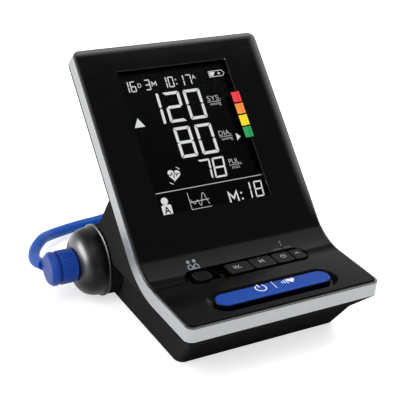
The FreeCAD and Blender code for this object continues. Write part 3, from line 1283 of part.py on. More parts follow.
# ================================================================ build
def build():
    NODES["face_panel"] = face_panel()
    NODES["trim_band"] = trim_band()
    NODES["display_window"] = display_window()
    NODES["lcd_glass"] = lcd_glass()
    NODES["lcd_frame"] = lcd_frame()
    NODES["lcd_connector"] = lcd_connector()
    NODES["main_board"] = main_board()
    NODES["board_screws"] = board_screws()
    NODES["board_chips"] = board_chips()
    NODES["pressure_sensor"] = pressure_sensor()
    NODES["buzzer"] = buzzer()
    NODES["rear_housing"] = rear_housing()
    NODES["bottom_cover"] = bottom_cover()
    NODES["rubber_feet"] = rubber_feet()
    NODES["case_screws"] = case_screws()
    NODES["left_dome"] = dome(-1)
    NODES["right_dome"] = dome(1)
    NODES["air_socket"] = air_socket()
    NODES["power_jack"] = power_jack()
    NODES["battery_door"] = battery_door()
    NODES["battery_tray"] = battery_tray()
    NODES["batteries"] = batteries()
    NODES["battery_contacts"] = battery_contacts()
    NODES["start_button"] = start_button()
    for name in KEY_SHARES:
        NODES[name] = key(name)
    NODES["user_slider"] = user_slider()
    NODES["switch_lever"] = switch_lever()
    NODES["slide_switch"] = slide_switch()
    NODES["key_board"] = key_board()
    NODES["tact_switches"] = tact_switches()
    NODES["pump_motor"] = pump_motor()
    NODES["pump_rotor"] = pump_rotor()
    NODES["pump_head"] = pump_head()
    NODES["pump_cradle"] = pump_cradle()
    NODES["air_valve"] = air_valve()
    NODES["air_manifold"] = air_manifold()
    NODES["socket_hose"] = socket_hose()
    NODES["pump_hose"] = pump_hose()
    NODES["valve_hose"] = valve_hose()
    NODES["sensor_hose"] = sensor_hose()
    NODES["plug_collar"] = plug_collar()
    NODES["plug_core"] = plug_core()
    NODES["plug_seal"] = plug_seal()
    NODES["plug_cap"] = plug_cap()
    NODES["air_tube"] = cord_tube("air_tube", TUBE_ROUTE)
    NODES["tube_tail"] = cord_tube("tube_tail", TAIL_ROUTE)
    NODES["tube_coil"] = tube_coil()
    NODES["cuff_connector"] = cuff_connector()


build()
os.makedirs("parts", exist_ok=True)
for name, shape in NODES.items():
    shape.exportStep("parts/" + name + ".step")
    print(name, "solids", len(shape.Solids), "valid", shape.isValid(), "volume", round(shape.Volume, 1))
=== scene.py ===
"""Desk blood pressure monitor: finishes, lit display, printed symbols, air tube and studio.

Sizes are millimetres in the part's own frame until Plane.at or mm() turns them into metres.
"""
import bpy
import bmesh
import json
import math
from mathutils import Matrix, Vector


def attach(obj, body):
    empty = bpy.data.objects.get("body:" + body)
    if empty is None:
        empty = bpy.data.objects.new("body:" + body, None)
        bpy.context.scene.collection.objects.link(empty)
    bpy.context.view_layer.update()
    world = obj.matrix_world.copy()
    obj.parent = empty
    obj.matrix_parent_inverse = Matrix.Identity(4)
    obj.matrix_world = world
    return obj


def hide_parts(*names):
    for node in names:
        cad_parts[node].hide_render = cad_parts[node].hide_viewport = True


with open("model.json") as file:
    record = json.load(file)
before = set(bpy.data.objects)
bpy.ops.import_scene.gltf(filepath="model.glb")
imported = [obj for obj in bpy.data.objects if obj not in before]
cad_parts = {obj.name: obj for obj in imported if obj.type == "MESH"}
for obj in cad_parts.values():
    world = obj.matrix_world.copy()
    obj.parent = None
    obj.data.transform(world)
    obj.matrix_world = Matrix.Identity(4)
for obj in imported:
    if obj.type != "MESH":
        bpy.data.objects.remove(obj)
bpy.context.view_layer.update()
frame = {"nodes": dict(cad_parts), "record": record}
NODES = frame["nodes"]
SCENE = bpy.context.scene

# ================================================================ sizes that repeat the part's own
DISPLAY_START = (0.0, -16.71, 50.286)
TILT = math.radians(45)
COS_TILT, SIN_TILT = math.cos(TILT), math.sin(TILT)
# depth below the display's plane; a negative one stands proud of it
FACE_DEPTH = -0.8
PANE_DEPTH = -0.4
LIT_DEPTH = 3.24
# window opening, across and up the display's plane
WINDOW_LEFT = -39.3
WINDOW_RIGHT = 35.85
WINDOW_TOP = 110.95
# heights over the table, and the lines that the symbols sit on
BUTTON_TOP = 41.9
KEY_TOP = 41.8
BUTTON_SIGN_Y = -63.2
POCKET_Y = -38.22
KEY_SIGN_Y = POCKET_Y + 0.5
# hollow bend between deck and display
BEND_START = -42.024
BEND_CENTRE_Z = 75.6
BEND_R = 35.0
BEND_SIGN_Y = -28.0
# air tube and its coil
TUBE_R = 3.5
COIL_CENTRE = (50.0, 106.78, 3.8)
COIL_OUT = 45.0
COIL_IN = 31.0
COIL_TURNS = 2
COIL_STEPS = 16
COIL_FIRST = 118.0
TUBE_ROUTE = [(-92.6, 40.9, 20.6), (-94.0, 53.2, 15.4), (-88.2, 69.7, 13.8), (-77.9, 82.2, 13.5),
              (-70.4, 91.3, 9.8), (-57.3, 99.1, 7.0), (-41.0, 105.8, 4.8), (-21.2, 108.6, 4.1),
              (-9.4, 115.5, 3.8), (2.7, 129.0, 3.8), (15.9, 139.6, 3.8), (28.9, 146.5, 3.8)]
TAIL_ROUTE = [(40.0, 136.5, 3.8), (50.1, 137.3, 3.8), (59.7, 133.8, 3.8), (67.1, 126.7, 3.8),
              (70.9, 117.2, 3.8), (70.5, 107.0, 3.8), (66.1, 97.9, 3.8)]

# ================================================================ marks: how far they stand out
LIT_THICK = 0.04
INLAY_LIFT = 0.045
INLAY_THICK = 0.01
PRINT_THICK = 0.03
SCALE_THICK = 0.02

# ================================================================ camera and light
LENS, SENSOR = 95.39, 36
CAMERA_PLACE = (-302.251, -473.625, 342.51)
CAMERA_RIGHT = (0.86782781, -0.49224459, 0.06760296)
CAMERA_UP = (0.16664269, 0.41653104, 0.89371813)
CAMERA_BACK = (-0.46808665, -0.76432791, 0.44350619)
FLOOR_GLOW = 0.62
ROOM_LIGHT = 0.5
MIDDLE = (0.0, 0.0, 0.05)
LEFT_DOME = (-0.075, 0.044, 0.025)

# ================================================================ limits of painted sheen and painted shade, in metres
SIDE_PAINTED_SHEEN = (0.0555, 0.0612)
TOP_PAINTED_SHEEN = (0.1458, 0.1488)
PAINTED_SHEEN_HEIGHT = (0.05, 0.075)
BUTTON_SIDE_SHADE = (-0.0006, -0.0002)


def mm(*values):
    """Millimetres to a vector in metres."""
    return Vector(values) * 0.001


class Plane:
    """A flat place on the object: across, up and out of it, in millimetres."""

    def __init__(self, start, up, out):
        self.start, self.across = Vector(start), Vector((1, 0, 0))
        self.up, self.out = Vector(up), Vector(out)

    def at(self, x, y, high):
        """A point across, up and above the plane, in metres."""
        return (self.start + self.across * x + self.up * y + self.out * high) * 0.001


class Bend:
    """The hollow bend between deck and display, measured along its curve, in millimetres."""

    def __init__(self, middle):
        turn = (middle - BEND_START) / BEND_R
        self.out = Vector((0, -math.sin(turn), math.cos(turn)))

    def at(self, x, y, high):
        """A point above the curve, in metres; y is where it would lie were the bend laid flat."""
        turn, reach = (y - BEND_START) / BEND_R, BEND_R - high
        return mm(x, BEND_START + reach * math.sin(turn), BEND_CENTRE_Z - reach * math.cos(turn))


SLOPE = Plane(DISPLAY_START, (0, COS_TILT, SIN_TILT), (0, -SIN_TILT, COS_TILT))
DECK = Plane((0, 0, 0), (0, 1, 0), (0, 0, 1))
BEND = Bend(BEND_SIGN_Y)


# ================================================================ camera
def make_camera():
    """The camera at the front left, a little above the display."""
    data = bpy.data.cameras.new("camera")
    data.lens, data.sensor_width = LENS, SENSOR
    data.clip_start, data.clip_end = 0.05, 20
    camera = bpy.data.objects.new("camera", data)
    turn = Matrix((CAMERA_RIGHT, CAMERA_UP, CAMERA_BACK)).transposed().to_4x4()
    camera.matrix_world = Matrix.Translation(mm(*CAMERA_PLACE)) @ turn
    SCENE.collection.objects.link(camera)
    SCENE.camera = camera


# ================================================================ shader building
class Value:
    """An output socket that takes part in sums; each sum adds a Math node."""

    def __init__(self, graph, socket):
        self.graph, self.socket = graph, socket

    def _math(self, operation, *others):
        """The result of a Math node with this value first."""
        return self.graph.node("ShaderNodeMath", "Value", operation=operation,
                               inputs={i: v for i, v in enumerate((self,) + others)})

    def __add__(self, other):
        return self._math("ADD", other)

    def __mul__(self, other):
        return self._math("MULTIPLY", other)

    __radd__, __rmul__ = __add__, __mul__

    def above(self, edge):
        """One above a limit, nought below it."""
        return self._math("GREATER_THAN", edge)

    def power(self, exponent):
        return self._math("POWER", exponent)

    def larger(self, other):
        """The larger of two values."""
        return self._math("MAXIMUM", other)

    def to_and_fro(self, width):
        """The value folded so that it runs from zero to a width and back."""
        return self._math("PINGPONG", width)

    def span(self, low, high, new_low=0.0, new_high=1.0):
        """The value stretched from one range to another, and held at its ends."""
        return self.graph.node("ShaderNodeMapRange", "Result",
                               inputs={0: self, 1: low, 2: high, 3: new_low, 4: new_high})


class Graph:
    """One material's nodes."""

    def __init__(self, name):
        self.material = bpy.data.materials.new(name)
        self.material.use_nodes = True
        self.tree = self.material.node_tree
        self.shader = self.tree.nodes["Principled BSDF"]
        self.out = self.tree.nodes["Material Output"]
        self._place = None

    def plug(self, socket, value):
        """Links a value to a socket, or sets the socket to a constant."""
        if isinstance(value, Value):
            self.tree.links.new(value.socket, socket)
        else:
            socket.default_value = value

    def node(self, kind, output, inputs, **settings):
        """Adds a node, fills its inputs and gives back one of its outputs."""
        made = self.tree.nodes.new(kind)
        for key, value in settings.items():
            setattr(made, key, value)
        for key, value in inputs.items():
            self.plug(made.inputs[key], value)
        return Value(self, made.outputs[output])

    def place(self):
        """Coordinates of the object, in metres."""
        if self._place is None:
            self._place = self.node("ShaderNodeTexCoord", "Object", {})
        return self._place

    def stretched(self, x, y, z):
        """Coordinates scaled by axis, which draws a pattern out into lines."""
        return self.node("ShaderNodeMapping", "Vector", {"Vector": self.place(), "Scale": (x, y, z)})

    def noise(self, scale, detail=3.0, rough=0.5, place=None):
        return self.node("ShaderNodeTexNoise", "Fac", {"Vector": place or self.place(), "Scale": scale,
                                                       "Detail": detail, "Roughness": rough})

    def cells(self, scale):
        return self.node("ShaderNodeTexVoronoi", "Distance", {"Vector": self.place(), "Scale": scale})

    def blend(self, factor, low, high):
        """A colour between two, by a factor."""
        return self.node("ShaderNodeMix", 2, {0: factor, 6: low, 7: high}, data_type="RGBA")

    def bump(self, height, distance):
        return self.node("ShaderNodeBump", "Normal",
                         {"Height": height, "Distance": distance, "Strength": 1.0})

    def part_of(self, axis):
        """One coordinate of the object in metres."""
        return self.node("ShaderNodeSeparateXYZ", axis, {"Vector": self.place()})

    def normal_part(self, axis):
        """One coordinate of the direction that the surface faces."""
        normal = self.node("ShaderNodeTexCoord", "Normal", {})
        return self.node("ShaderNodeSeparateXYZ", axis, {"Vector": normal})

    def facing(self):
        """Nought where the surface is seen head-on, one where it is seen edge-on."""
        return self.node("ShaderNodeLayerWeight", "Facing", {"Blend": 0.5})

    def finish(self, **sockets):
        """Fills the surface shader's inputs and gives back the material."""
        for key, value in sockets.items():
            self.plug(self.shader.inputs[key.replace("_", " ")], value)
        return self.material


def colour(red, green, blue):
    """An opaque colour."""
    return (red, green, blue, 1.0)


def shade(tone, factor):
    """A tone made lighter or darker."""
    return colour(*[part * factor for part in tone])


# ================================================================ finishes seen from outside
def gloss_face(name, tone):
    """Piano-black front moulding: faint ripples, a few wipe marks and a grey sheen painted into the colour at
    two edges, a painted reflection.
    """
    g = Graph(name)
    ripple = g.noise(55, 2)
    wipes = g.noise(1, 4, 0.6, g.stretched(35, 120, 120))
    low_angle = g.facing().span(0.46, 0.57, 0.0, 0.44)
    # painted reflection: a light grey is blended into the colour near the right and top edges, above a set
    # height, as a sheen on the rounded rim
    side = g.part_of("X").span(*SIDE_PAINTED_SHEEN)
    along = (g.part_of("Y") * COS_TILT + g.part_of("Z") * SIN_TILT).span(*TOP_PAINTED_SHEEN)
    sheen = side.larger(along).power(2.0) * g.part_of("Z").span(*PAINTED_SHEEN_HEIGHT)
    body = g.blend(wipes, shade(tone, 0.8), shade(tone, 1.3))
    return g.finish(Base_Color=g.blend(sheen, body, colour(0.16, 0.161, 0.164)),
                    Roughness=wipes.span(0.35, 0.8, 0.09, 0.17), Specular_IOR_Level=0.035,
                    Coat_Weight=low_angle, Coat_Roughness=0.12, Normal=g.bump(ripple, 0.00004))


def brushed_trim(name, tone):
    """Silver band: fine lines brushed along it, a soft change of tone and a dark upper lip of painted shade.
    """
    g = Graph(name)
    lines = g.noise(1, 3, 0.7, g.stretched(90, 2600, 2600))
    sweep = g.noise(14, 2)
    # painted shade: surfaces of the band that face upward are darkened in colour
    lip = g.normal_part("Z").span(0.08, 0.3) * g.normal_part("Y").span(-0.05, 0.1, 1, 0)
    brushed = g.blend(lines, shade(tone, 0.86), shade(tone, 1.1))
    tint = g.blend(sweep.span(0.3, 0.7), brushed, shade(tone, 1.0))
    return g.finish(Base_Color=g.blend(lip, tint, shade(tone, 0.12)), Metallic=0.6,
                    Roughness=lines.span(0.3, 0.7, 0.26, 0.4), Normal=g.bump(lines, 0.00001))


def moulded(name, tone, grain=1800, depth=0.00003, low=0.42, high=0.6, specular=0.3, front=1.0):
    """Spark-textured plastic: fine grain and a slow change of tone, with painted shade on front sides, darker
    by a share.
    """
    g = Graph(name)
    spark = g.noise(grain, 2, 0.6)
    slow = g.noise(24, 3)
    tint = g.blend(slow, shade(tone, 0.85), shade(tone, 1.2))
    if front < 1.0:
        # painted shade: sides that face the front are darkened in colour by the given share
        ahead = g.normal_part("Y").span(-0.8, -0.4, 1.0, 0.0)
        tint = g.blend(ahead, tint, shade(tone, front))
    return g.finish(Base_Color=tint, Roughness=(spark * 0.5 + slow * 0.5).span(0.3, 0.7, low, high),
                    Specular_IOR_Level=specular, Normal=g.bump(spark, depth))


def satin(name, tone, rough, specular):
    """Satin plastic with orange-peel ripples and an uneven sheen."""
    g = Graph(name)
    peel = g.noise(420, 2)
    sheen = g.noise(30, 4)
    return g.finish(Base_Color=g.blend(sheen, shade(tone, 0.9), shade(tone, 1.12)),
                    Roughness=sheen.span(0.3, 0.7, rough - 0.04, rough + 0.06),
                    Specular_IOR_Level=specular, Normal=g.bump(peel, 0.00001))


def dome_skin(name, tone):
    """Satin dome with a broad sheen on the upper half of its blunt end."""
    g = Graph(name)
    peel = g.noise(420, 2)
    sheen = g.noise(30, 4)
    across = g.normal_part("X")
    upper = g.normal_part("Z").span(-0.2, 0.1)
    return g.finish(Base_Color=g.blend(sheen, shade(tone, 0.9), shade(tone, 1.12)),
                    Roughness=sheen.span(0.3, 0.7, 0.26, 0.36), Specular_IOR_Level=0.14,
                    Coat_Weight=(across * across).span(0.3, 0.7) * upper, Coat_Roughness=0.34,
                    Normal=g.bump(peel, 0.00001))


def button_cap(name, tone):
    """Blue button whose side turns dark below its rounded rim, as painted shade."""
    g = Graph(name)
    top = max(v.co.z for v in NODES["start_button"].data.vertices)
    # painted shade: below the rounded rim of the top the colour falls to nearly black
    side = g.part_of("Z").span(top + BUTTON_SIDE_SHADE[0], top + BUTTON_SIDE_SHADE[1])
    sheen = g.noise(30, 4)
    peel = g.noise(420, 2)
    lit_tone = g.blend(sheen, shade(tone, 0.9), shade(tone, 1.12))
    return g.finish(Base_Color=g.blend(side, shade(tone, 0.02), lit_tone),
                    Roughness=sheen.span(0.3, 0.7, 0.2, 0.3), Specular_IOR_Level=0.1,
                    Normal=g.bump(peel, 0.00001))


def clear_pane(name):
    """Clear window: light passes, with a weak smoky reflection."""
    g = Graph(name)
    smear = g.noise(60, 3)
    glossy = g.node("ShaderNodeBsdfGlossy", "BSDF", {"Color": colour(0.5, 0.52, 0.55),
                                                     "Roughness": smear.span(0.3, 0.7, 0.06, 0.1)})
    clear = g.node("ShaderNodeBsdfTransparent", "BSDF", {"Color": colour(0.97, 0.98, 0.985)})
    edge = g.node("ShaderNodeFresnel", "Fac", {"IOR": 1.13}).span(0.008, 0.2, 0.0, 0.3)
    both = g.node("ShaderNodeMixShader", "Shader", {0: edge, 1: clear, 2: glossy})
    g.plug(g.out.inputs["Surface"], both)
    return g.material


def dark_glass(name):
    """Switched-off part of the display: nearly black, with a very fine cell grid."""
    g = Graph(name)
    grid = g.cells(900)
    tint = g.blend(grid, colour(0.0009, 0.0009, 0.001), colour(0.0014, 0.0014, 0.0016))
    return g.finish(Base_Color=tint, Roughness=grid.span(0, 1, 0.2, 0.3), Specular_IOR_Level=0.02)


def lit(name, tone, glow):
    """Lit or printed mark: even light with the slight grain of a display cell."""
    g = Graph(name)
    grain = g.noise(1500, 2)
    light = g.blend(grain, shade(tone, 0.9), shade(tone, 1.05))
    return g.finish(Base_Color=shade(tone, 0.12), Roughness=0.5, Specular_IOR_Level=0.05,
                    Emission_Color=light, Emission_Strength=glow)


def ink(name, tone, rough=0.45):
    """Printed ink, a little thinner in places; the same finish also paints the highlight and glint at the
    window's edge.
    """
    g = Graph(name)
    wear = g.noise(700, 3)
    return g.finish(Base_Color=g.blend(wear.span(0.35, 0.75), shade(tone, 1.0), shade(tone, 0.8)),
                    Roughness=wear.span(0.3, 0.7, rough - 0.08, rough + 0.1), Specular_IOR_Level=0.3)


def air_tube_blue(name, tone):
    """Soft blue tube: matt bloom, fine pits and a sheen painted into the colour where it is seen edge-on."""
    g = Graph(name)
    bloom = g.noise(45, 4, 0.6)
    pits = g.noise(1300, 2)
    edge = g.facing()
    tint = g.blend(bloom, shade(tone, 0.85), shade(tone, 1.2))
    # painted sheen: the colour is lightened where the tube is seen edge-on
    return g.finish(Base_Color=g.blend(edge.span(0.6, 1, 0, 0.25), tint, shade(tone, 1.8)),
                    Roughness=bloom.span(0.3, 0.7, 0.36, 0.5), Specular_IOR_Level=0.14,
                    Normal=g.bump(pits, 0.00002))


# ================================================================ finishes of the parts inside
def metal(name, tone, rough=0.3, line=(400, 400, 400)):
    """Bare metal with fine drawing lines."""
    g = Graph(name)
    lines = g.noise(1, 3, 0.6, g.stretched(*line))
    return g.finish(Base_Color=g.blend(lines, shade(tone, 0.85), shade(tone, 1.1)), Metallic=1.0,
                    Roughness=lines.span(0.3, 0.7, rough - 0.06, rough + 0.1), Normal=g.bump(lines, 0.00001))


def circuit_board(name):
    """Green board: solder mask over fine copper runs, with bare pads here and there."""
    g = Graph(name)
    runs = g.node("ShaderNodeTexWave", "Fac", {"Vector": g.place(), "Scale": 260.0, "Distortion": 9.0,
                                               "Detail": 2.0, "Detail Scale": 0.6})
    pads = g.cells(320).span(0.1, 0.16, 1, 0)
    mask = g.blend(runs.above(0.62), colour(0.01, 0.075, 0.03), colour(0.02, 0.15, 0.06))
    return g.finish(Base_Color=g.blend(pads, mask, colour(0.62, 0.5, 0.25)), Metallic=pads,
                    Roughness=runs.span(0, 1, 0.3, 0.42), Normal=g.bump(runs, 0.00003))


def rubber(name, tone):
    """Matt rubber with a dry, slightly dusty skin."""
    g = Graph(name)
    dust = g.noise(120, 5, 0.7)
    pores = g.cells(1400)
    return g.finish(Base_Color=g.blend(dust, shade(tone, 0.8), shade(tone, 1.8)),
                    Roughness=dust.span(0.3, 0.7, 0.7, 0.9), Specular_IOR_Level=0.25,
                    Normal=g.bump(pores, 0.00003))


def cell_wrap(name):
    """Battery sleeve: silver-grey film with a dark band, no lettering."""
    g = Graph(name)
    along = g.part_of("X")
    film = g.noise(90, 3)
    band = (along * 1000).to_and_fro(25.0).above(18.0)
    silver = g.blend(film, colour(0.5, 0.51, 0.53), colour(0.6, 0.61, 0.63))
    return g.finish(Base_Color=g.blend(band, silver, colour(0.03, 0.035, 0.04)), Metallic=0.4,
                    Roughness=film.span(0.3, 0.7, 0.24, 0.36))


def contact_strip(name):
    """Striped rubber strip that joins the glass to the board."""
    g = Graph(name)
    stripes = (g.part_of("X") * 1000).to_and_fro(0.4).above(0.2)
    return g.finish(Base_Color=g.blend(stripes, colour(0.45, 0.44, 0.4), colour(0.03, 0.03, 0.03)),
                    Roughness=stripes.span(0, 1, 0.6, 0.8))


def clear_hose(name):
    """Milky inner hose."""
    g = Graph(name)
    cloud = g.noise(70, 4)
    return g.finish(Base_Color=g.blend(cloud, colour(0.62, 0.62, 0.58), colour(0.75, 0.75, 0.72)),
                    Roughness=cloud.span(0.3, 0.7, 0.3, 0.45), Subsurface_Weight=0.2, Subsurface_Scale=0.002)


BUTTON_BLUE = (0.003, 0.052, 0.32)
PLUG_BLUE = (0.008, 0.058, 0.36)

FINISH = {
    "face_black": gloss_face("gloss_face", (0.0016, 0.0016, 0.0017)),
    "trim_silver": brushed_trim("brushed_trim", (0.385, 0.395, 0.405)),
    "housing_black": moulded("housing_texture_front_shade", (0.032, 0.0315, 0.0315), low=0.5, high=0.65,
                             specular=0.0, front=0.4),
    "dome_black": dome_skin("dome_satin", (0.0022, 0.0022, 0.0022)),
    "clear_window": clear_pane("clear_pane"),
    "lcd_black": dark_glass("display_glass"),
    "white_frame": moulded("holder_white", (0.7, 0.7, 0.68), 900, 0.00002),
    "zebra_rubber": contact_strip("contact_strip"),
    "board_green": circuit_board("circuit_board"),
    "chip_black": moulded("chip_resin", (0.012, 0.012, 0.013), 2400, 0.00001, 0.5, 0.65),
    "screw_steel": metal("screw_steel", (0.6, 0.6, 0.62)),
    "sensor_grey": moulded("sensor_grey", (0.3, 0.3, 0.31), 1500, 0.00001),
    "blue_plastic": button_cap("button_blue_side_shade", BUTTON_BLUE),
    "plug_blue": satin("plug_blue", PLUG_BLUE, 0.3, 0.16),
    "tube_blue": air_tube_blue("tube_blue", (0.003, 0.085, 0.46)),
    "key_black": moulded("key_black", (0.003, 0.003, 0.0033), 2200, 0.00001, 0.26, 0.38, 0.1),
    "rubber_black": rubber("rubber_black", (0.012, 0.012, 0.012)),
    "tray_black": moulded("tray_black", (0.018, 0.018, 0.018), 1200, 0.00003),
    "cell_silver": cell_wrap("cell_sleeve"),
    "contact_nickel": metal("contact_nickel", (0.68, 0.68, 0.66), 0.2),
    "motor_steel": metal("motor_steel", (0.52, 0.52, 0.54), 0.34, (60, 900, 900)),
    "pump_white": moulded("pump_white", (0.66, 0.66, 0.63), 1100, 0.00002),
    "hose_clear": clear_hose("hose_clear"),
}


def dress_nodes():
    """Gives every node its finish by the material slot that the record names."""
    for part in frame["record"]["subparts"]:
        mesh = NODES[part["node"]].data
        mesh.materials.clear()
        mesh.materials.append(FINISH[part["material_slot"]])


# ================================================================ flat shapes
def printed(name, plane, high, shapes, material, body="housing",
            thick=PRINT_THICK):
    """Thin raised marks: closed outlines in the plane, from one height up by a thickness."""
    mesh = bmesh.new()
    for outline in shapes:
        corners = []
        for x, y in outline:
            point = plane.at(x, y, high)
            if not corners or (corners[-1].co - point).length > 1e-7:
                corners.append(mesh.verts.new(point))
        mesh.faces.new(corners)
    bmesh.ops.remove_doubles(mesh, verts=mesh.verts, dist=2e-6)
    top = bmesh.ops.extrude_face_region(mesh, geom=mesh.faces[:])
    lifted = [g for g in top["geom"] if isinstance(g, bmesh.types.BMVert)]
    bmesh.ops.translate(mesh, verts=lifted, vec=plane.out * thick * 0.001)
    bmesh.ops.recalc_face_normals(mesh, faces=mesh.faces)
    data = bpy.data.meshes.new(name)
    mesh.to_mesh(data)
    mesh.free()
    data.materials.append(material)
    piece = bpy.data.objects.new(name, data)
    SCENE.collection.objects.link(piece)
    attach(piece, body)


def stroke(points, width, closed=False):
    """Outlines of a line with mitred corners, one four-sided shape for each run."""
    points = [Vector(p) for p in points]
    count = len(points)
    sides = []
    for i, here in enumerate(points):
        ahead = points[(i + 1) % count] - here if closed or i < count - 1 else here - points[i - 1]
        behind = here - points[i - 1] if closed or i > 0 else ahead
        normals = [Vector((-run.y, run.x)).normalized() for run in (behind, ahead)]
        middle = (normals[0] + normals[1]).normalized()
        reach = width / 2 / max(middle.dot(normals[0]), 0.5)
        sides.append((here + middle * reach, here - middle * reach))
    pairs = list(zip(sides, sides[1:])) + ([(sides[-1], sides[0])] if closed else [])
    return [[tuple(a[0]), tuple(b[0]), tuple(b[1]), tuple(a[1])] for a, b in pairs]


def arc(x, y, radius, start, end, steps):
    """Points on a circle from one angle to another, in degrees."""
    angles = [math.radians(start + (end - start) * i / steps) for i in range(steps + 1)]
    return [(x + radius * math.cos(a), y + radius * math.sin(a)) for a in angles]


def leaned(shapes, foot, lean):
    """Outlines leant to the right about a level line."""
    return [[(x + (y - foot) * lean, y) for x, y in outline] for outline in shapes]


CAPITAL_SHARE = 0.7


def lettering(text, x, y, high, width, bold=0.0):
    """Triangles of plain lettering of a given capital height and width."""
    curve = bpy.data.curves.new("lettering", "FONT")
    curve.body, curve.size, curve.offset = text, 1.0, bold
    maker = bpy.data.objects.new("lettering", curve)
    SCENE.collection.objects.link(maker)
    bpy.context.view_layer.update()
    mesh = bpy.data.meshes.new_from_object(maker)
    spots = [v.co for v in mesh.vertices]
    left, right = min(p.x for p in spots), max(p.x for p in spots)
    tall = high / CAPITAL_SHARE
    wide = width / (right - left)
    shapes = [[(x + (spots[i].x - left) * wide, y + spots[i].y * tall) for i in face.vertices]
              for face in mesh.polygons]
    bpy.data.objects.remove(maker)
    bpy.data.curves.remove(curve)
    bpy.data.meshes.remove(mesh)
    return shapes


def letter_m(x, y, high, width, line):
    """An M of straight strokes."""
    inset = line / 2
    return stroke([(x + inset, y), (x + inset, y + high), (x + width / 2, y + high * 0.36),
                   (x + width - inset, y + high), (x + width - inset, y)], line)


SEGMENTS = {"0": "abcdef", "1": "bc", "2": "abdeg", "3": "abcdg", "6": "acdefg", "7": "abc",
            "8": "abcdefg"}


def digit(figure, x, y, wide, tall, thick, gap, lean):
    """Seven-segment figure with cut corners and a gap between its segments."""
    half = tall / 2
    t, g, c = thick, gap, thick * 0.5
    left = [(0, g + c / 2), (c / 4, g + c / 4), (t, g + t), (t, half - t * 0.35 - g / 2),
            (t * 0.4, half - g / 2), (0, half - g / 2 - t * 0.25)]
    flat = [(g + c / 2, 0), (wide - g - c / 2, 0), (wide - g - c / 4, c / 4), (wide - t - g, t),
            (t + g, t), (g + c / 4, c / 4)]
    middle = [(t * 0.4 + g / 2, half), (t + g / 2, half + t / 2), (wide - t - g / 2, half + t / 2),
              (wide - t * 0.4 - g / 2, half), (wide - t - g / 2, half - t / 2), (t + g / 2, half - t / 2)]
    bar = [(wide - t, g), (wide - t / 2, 0), (wide, c), (wide, half - g / 2 - c),
           (wide - t / 2, half - g / 2), (wide - t, half - g / 2 - c)]
    lower = bar if figure == "1" else [(wide - px, py) for px, py in left]
    shapes = {"c": lower, "d": flat, "e": left, "g": middle}
    for upper, below in (("a", flat), ("b", lower), ("f", left)):
        shapes[upper] = [(px, tall - py) for px, py in below]
    used = [[(x + px, y + py) for px, py in shapes[letter]] for letter in SEGMENTS[figure]]
    return leaned(used, y, lean)


# ================================================================ lit display
def lit_mark(name, shapes, material=None):
    """A lit mark on the display glass, white if no material is given."""
    printed(name, SLOPE, -LIT_DEPTH, shapes, material or WHITE_LIGHT, thick=LIT_THICK)


def dark_inlay(name, shapes):
    """A dark mark over a lit one."""
    printed(name, SLOPE, -LIT_DEPTH + INLAY_LIFT, shapes, FINISH["lcd_black"],
            thick=INLAY_THICK)


def display_readings():
    """The three large readings."""
    lit_mark("reading_high", digit("1", -18.9, 75.2, 3.2, 20.2, 1.75, 0.3, 0.03)
             + digit("2", -12.95, 75.3, 11.5, 19.9, 1.85, 0.3, 0.015)
             + digit("0", 1.25, 75.35, 11.7, 19.8, 1.85, 0.3, 0.01))
    lit_mark("reading_low", digit("8", -12.9, 52.2, 11.3, 19.8, 1.85, 0.3, 0.006)
             + digit("0", 1.4, 52.3, 11.6, 19.6, 1.85, 0.3, 0.01))
    lit_mark("reading_pulse", digit("7", -4.9, 36.5, 8.1, 13.0, 1.15, 0.2, 0.112)
             + digit("8", 4.65, 36.6, 8.3, 12.9, 1.15, 0.2, 0.112))


def display_names():
    """Name over unit beside each reading, with a line between."""
    for name, x, low, width, unit, unit_width in (("SYS.", 16.3, 85.8, 9.4, "mmHg", 7.6),
                                                  ("DIA.", 16.4, 62.4, 8.4, "mmHg", 7.6),
                                                  ("PUL.", 16.9, 43.6, 7.8, "min", 5.2)):
        lit_mark("label_" + name[:3].lower(), lettering(name, x, low, 3.3, width, -0.012)
                 + stroke([(x - 0.4, low - 0.75), (x + 8.8, low - 0.75)], 0.28)
                 + lettering(unit, x + 1.0, low - 3.2, 2.1, unit_width, -0.01), DIM_LIGHT)


def display_date():
    """Day, month and time along the top."""
    small = dict(tall=7.0, thick=0.66, gap=0.15, lean=0.03)
    shapes = []
    for figure, x, wide in (("1", -34.2, 1.6), ("6", -31.6, 3.6), ("3", -22.0, 3.7), ("1", -8.6, 1.6),
                            ("0", -6.0, 3.7), ("1", 3.3, 1.6), ("7", 6.2, 3.8)):
        shapes += digit(figure, x, 98.0, wide, **small)
    for y in (99.7, 102.6):
        shapes += stroke([(-1.0, y), (-0.2, y)], 0.8)
    for letter, x, low, wide in (("D", -26.5, 100.4, 2.2), ("A", 10.8, 101.6, 2.5)):
        shapes += lettering(letter, x, low, 2.8, wide)
    shapes += letter_m(-17.3, 100.3, 2.8, 3.3, 0.6)
    lit_mark("date_and_time", shapes)


def battery_symbol():
    """Battery outline with a pointed end, part filled, and a small plus."""
    outline = [(23.2, 101.3), (32.6, 101.3), (34.1, 103.2), (32.6, 105.1), (23.2, 105.1)]
    filled = [(23.8, 101.9), (26.1, 101.9), (27.7, 104.5), (23.8, 104.5)]
    plus = (stroke([(29.3, 103.2), (31.3, 103.2)], 0.5)
            + stroke([(30.3, 102.2), (30.3, 104.2)], 0.5))
    lit_mark("battery_symbol", stroke(outline, 0.36, True) + [filled] + plus)


HEART_TURN = -10


def heart_outline(x, y, size, steps=22):
    """Closed heart with its tip down, size wide, about its own middle."""
    points = []
    for i in range(steps):
        a = 2 * math.pi * i / steps
        across = 16 * math.sin(a) ** 3
        along = 13 * math.cos(a) - 5 * math.cos(2 * a) - 2 * math.cos(3 * a) - math.cos(4 * a)
        points.append((x + across / 32 * size, y + (along + 2.5) / 32 * size))
    return points


